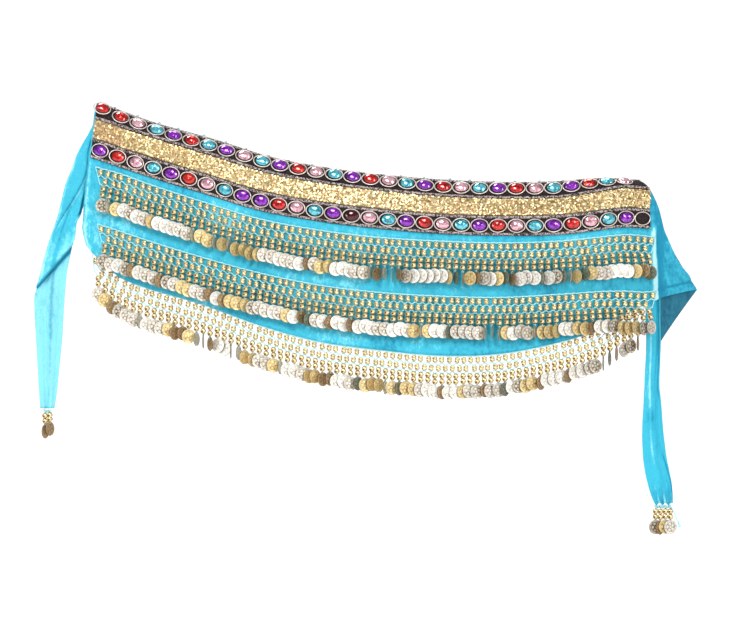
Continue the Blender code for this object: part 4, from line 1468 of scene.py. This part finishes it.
class ScarfNetSettings(bpy.types.PropertyGroup):
    """The sizes of beads and coins, and the colours of gold and thread."""

    bead_radius: length("Bead radius", "The radius of a round bead", 0.0031)
    coin_radius: length("Coin radius", "The radius of a coin", 0.0079)
    gold: colour("Gold", "The beads' plating", (0.82, 0.67, 0.36))
    thread: colour("Net thread", "The nets' thread", (0.20, 0.60, 0.69))
    thread_light: colour("Net thread, light", "The nets' thread where it shines", (0.50, 0.84, 0.88))


class ScarfStageSettings(bpy.types.PropertyGroup):
    """How bright the stage is."""

    light: brightness("Light", "How strong the lamps are", 1.0)
    room_light: brightness("Room light", "How bright the room is", 0.28)


class SCARF_OT_stage(bpy.types.Operator):
    """Makes the floor, the lights and the camera"""

    bl_idname = "scarf.stage"
    bl_label = "Stage"

    def execute(self, context):
        stage(context.scene.scarf_stage)
        return {"FINISHED"}


class SCARF_OT_hip_cloth(bpy.types.Operator):
    """Makes the velvet hip cloth with its folds"""

    bl_idname = "scarf.hip_cloth"
    bl_label = "Hip cloth"

    def execute(self, context):
        hip_cloth(context.scene.scarf_cloth)
        return {"FINISHED"}


class SCARF_OT_back_flap(bpy.types.Operator):
    """Makes the cloth turned back at the right"""

    bl_idname = "scarf.back_flap"
    bl_label = "Back flap"

    def execute(self, context):
        back_flap(context.scene.scarf_cloth)
        return {"FINISHED"}


class SCARF_OT_ties(bpy.types.Operator):
    """Makes the two tie ends"""

    bl_idname = "scarf.ties"
    bl_label = "Ties"

    def execute(self, context):
        left_tie(context.scene.scarf_cloth)
        right_tie(context.scene.scarf_cloth)
        return {"FINISHED"}


class SCARF_OT_ribbons(bpy.types.Operator):
    """Makes the two black ribbons with their braid"""

    bl_idname = "scarf.ribbons"
    bl_label = "Ribbons"

    def execute(self, context):
        for row in RIBBONS:
            ribbon(row, context.scene.scarf_trim)
            braids(row, context.scene.scarf_trim)
        return {"FINISHED"}


class SCARF_OT_stones(bpy.types.Operator):
    """Makes the stones and their settings"""

    bl_idname = "scarf.stones"
    bl_label = "Stones"

    def execute(self, context):
        for row in RIBBONS:
            settings(row, context.scene.scarf_trim)
            stones(row, context.scene.scarf_trim)
        return {"FINISHED"}


class SCARF_OT_sequins(bpy.types.Operator):
    """Makes the sequin band"""

    bl_idname = "scarf.sequins"
    bl_label = "Sequins"

    def execute(self, context):
        sequins(context.scene.scarf_trim)
        return {"FINISHED"}


class SCARF_OT_edge_knots(bpy.types.Operator):
    """Makes the knots along the top edge"""

    bl_idname = "scarf.edge_knots"
    bl_label = "Edge knots"

    def execute(self, context):
        edge_knots()
        return {"FINISHED"}


class SCARF_OT_nets(bpy.types.Operator):
    """Makes the three nets with their strands and coins"""

    bl_idname = "scarf.nets"
    bl_label = "Nets"

    def execute(self, context):
        for net in NETS:
            make_net(net, context.scene.scarf_net)
        return {"FINISHED"}


class SCARF_OT_tassels(bpy.types.Operator):
    """Makes the tassels and the loose thread"""

    bl_idname = "scarf.tassels"
    bl_label = "Tassels"

    def execute(self, context):
        for kind in TASSELS:
            tassel(kind, context.scene.scarf_net)
        loose_thread(context.scene.scarf_net)
        return {"FINISHED"}


OPERATORS = (
    SCARF_OT_stage,
    SCARF_OT_hip_cloth,
    SCARF_OT_back_flap,
    SCARF_OT_ties,
    SCARF_OT_ribbons,
    SCARF_OT_stones,
    SCARF_OT_sequins,
    SCARF_OT_edge_knots,
    SCARF_OT_nets,
    SCARF_OT_tassels,
)
GROUPS = {
    "scarf_cloth": ScarfClothSettings,
    "scarf_trim": ScarfTrimSettings,
    "scarf_net": ScarfNetSettings,
    "scarf_stage": ScarfStageSettings,
}


class SCARF_PT_panel(bpy.types.Panel):
    """Lists the steps and what a user may change."""

    bl_label = "Hip scarf"
    bl_space_type = "VIEW_3D"
    bl_region_type = "UI"
    bl_category = "Scarf"

    def draw(self, context):
        for operator in OPERATORS:
            self.layout.operator(operator.bl_idname)
        for name, group in GROUPS.items():
            box = self.layout.box()
            for key in group.__annotations__:
                box.prop(getattr(context.scene, name), key)


def register():
    """Registers the classes and gives each scene its settings."""
    for kind in (*GROUPS.values(), *OPERATORS, SCARF_PT_panel):
        bpy.utils.register_class(kind)
    for name, group in GROUPS.items():
        setattr(bpy.types.Scene, name, PointerProperty(type=group))


def unregister():
    """Takes the settings and the classes away again."""
    for name in GROUPS:
        delattr(bpy.types.Scene, name)
    for kind in (SCARF_PT_panel, *OPERATORS, *GROUPS.values()):
        bpy.utils.unregister_class(kind)


def main():
    """Makes every piece in order."""
    register()
    bpy.ops.scarf.stage()
    bpy.ops.scarf.hip_cloth()
    bpy.ops.scarf.back_flap()
    bpy.ops.scarf.ties()
    bpy.ops.scarf.ribbons()
    bpy.ops.scarf.stones()
    bpy.ops.scarf.sequins()
    bpy.ops.scarf.edge_knots()
    bpy.ops.scarf.nets()
    bpy.ops.scarf.tassels()


if __name__ == "__main__":
    main()
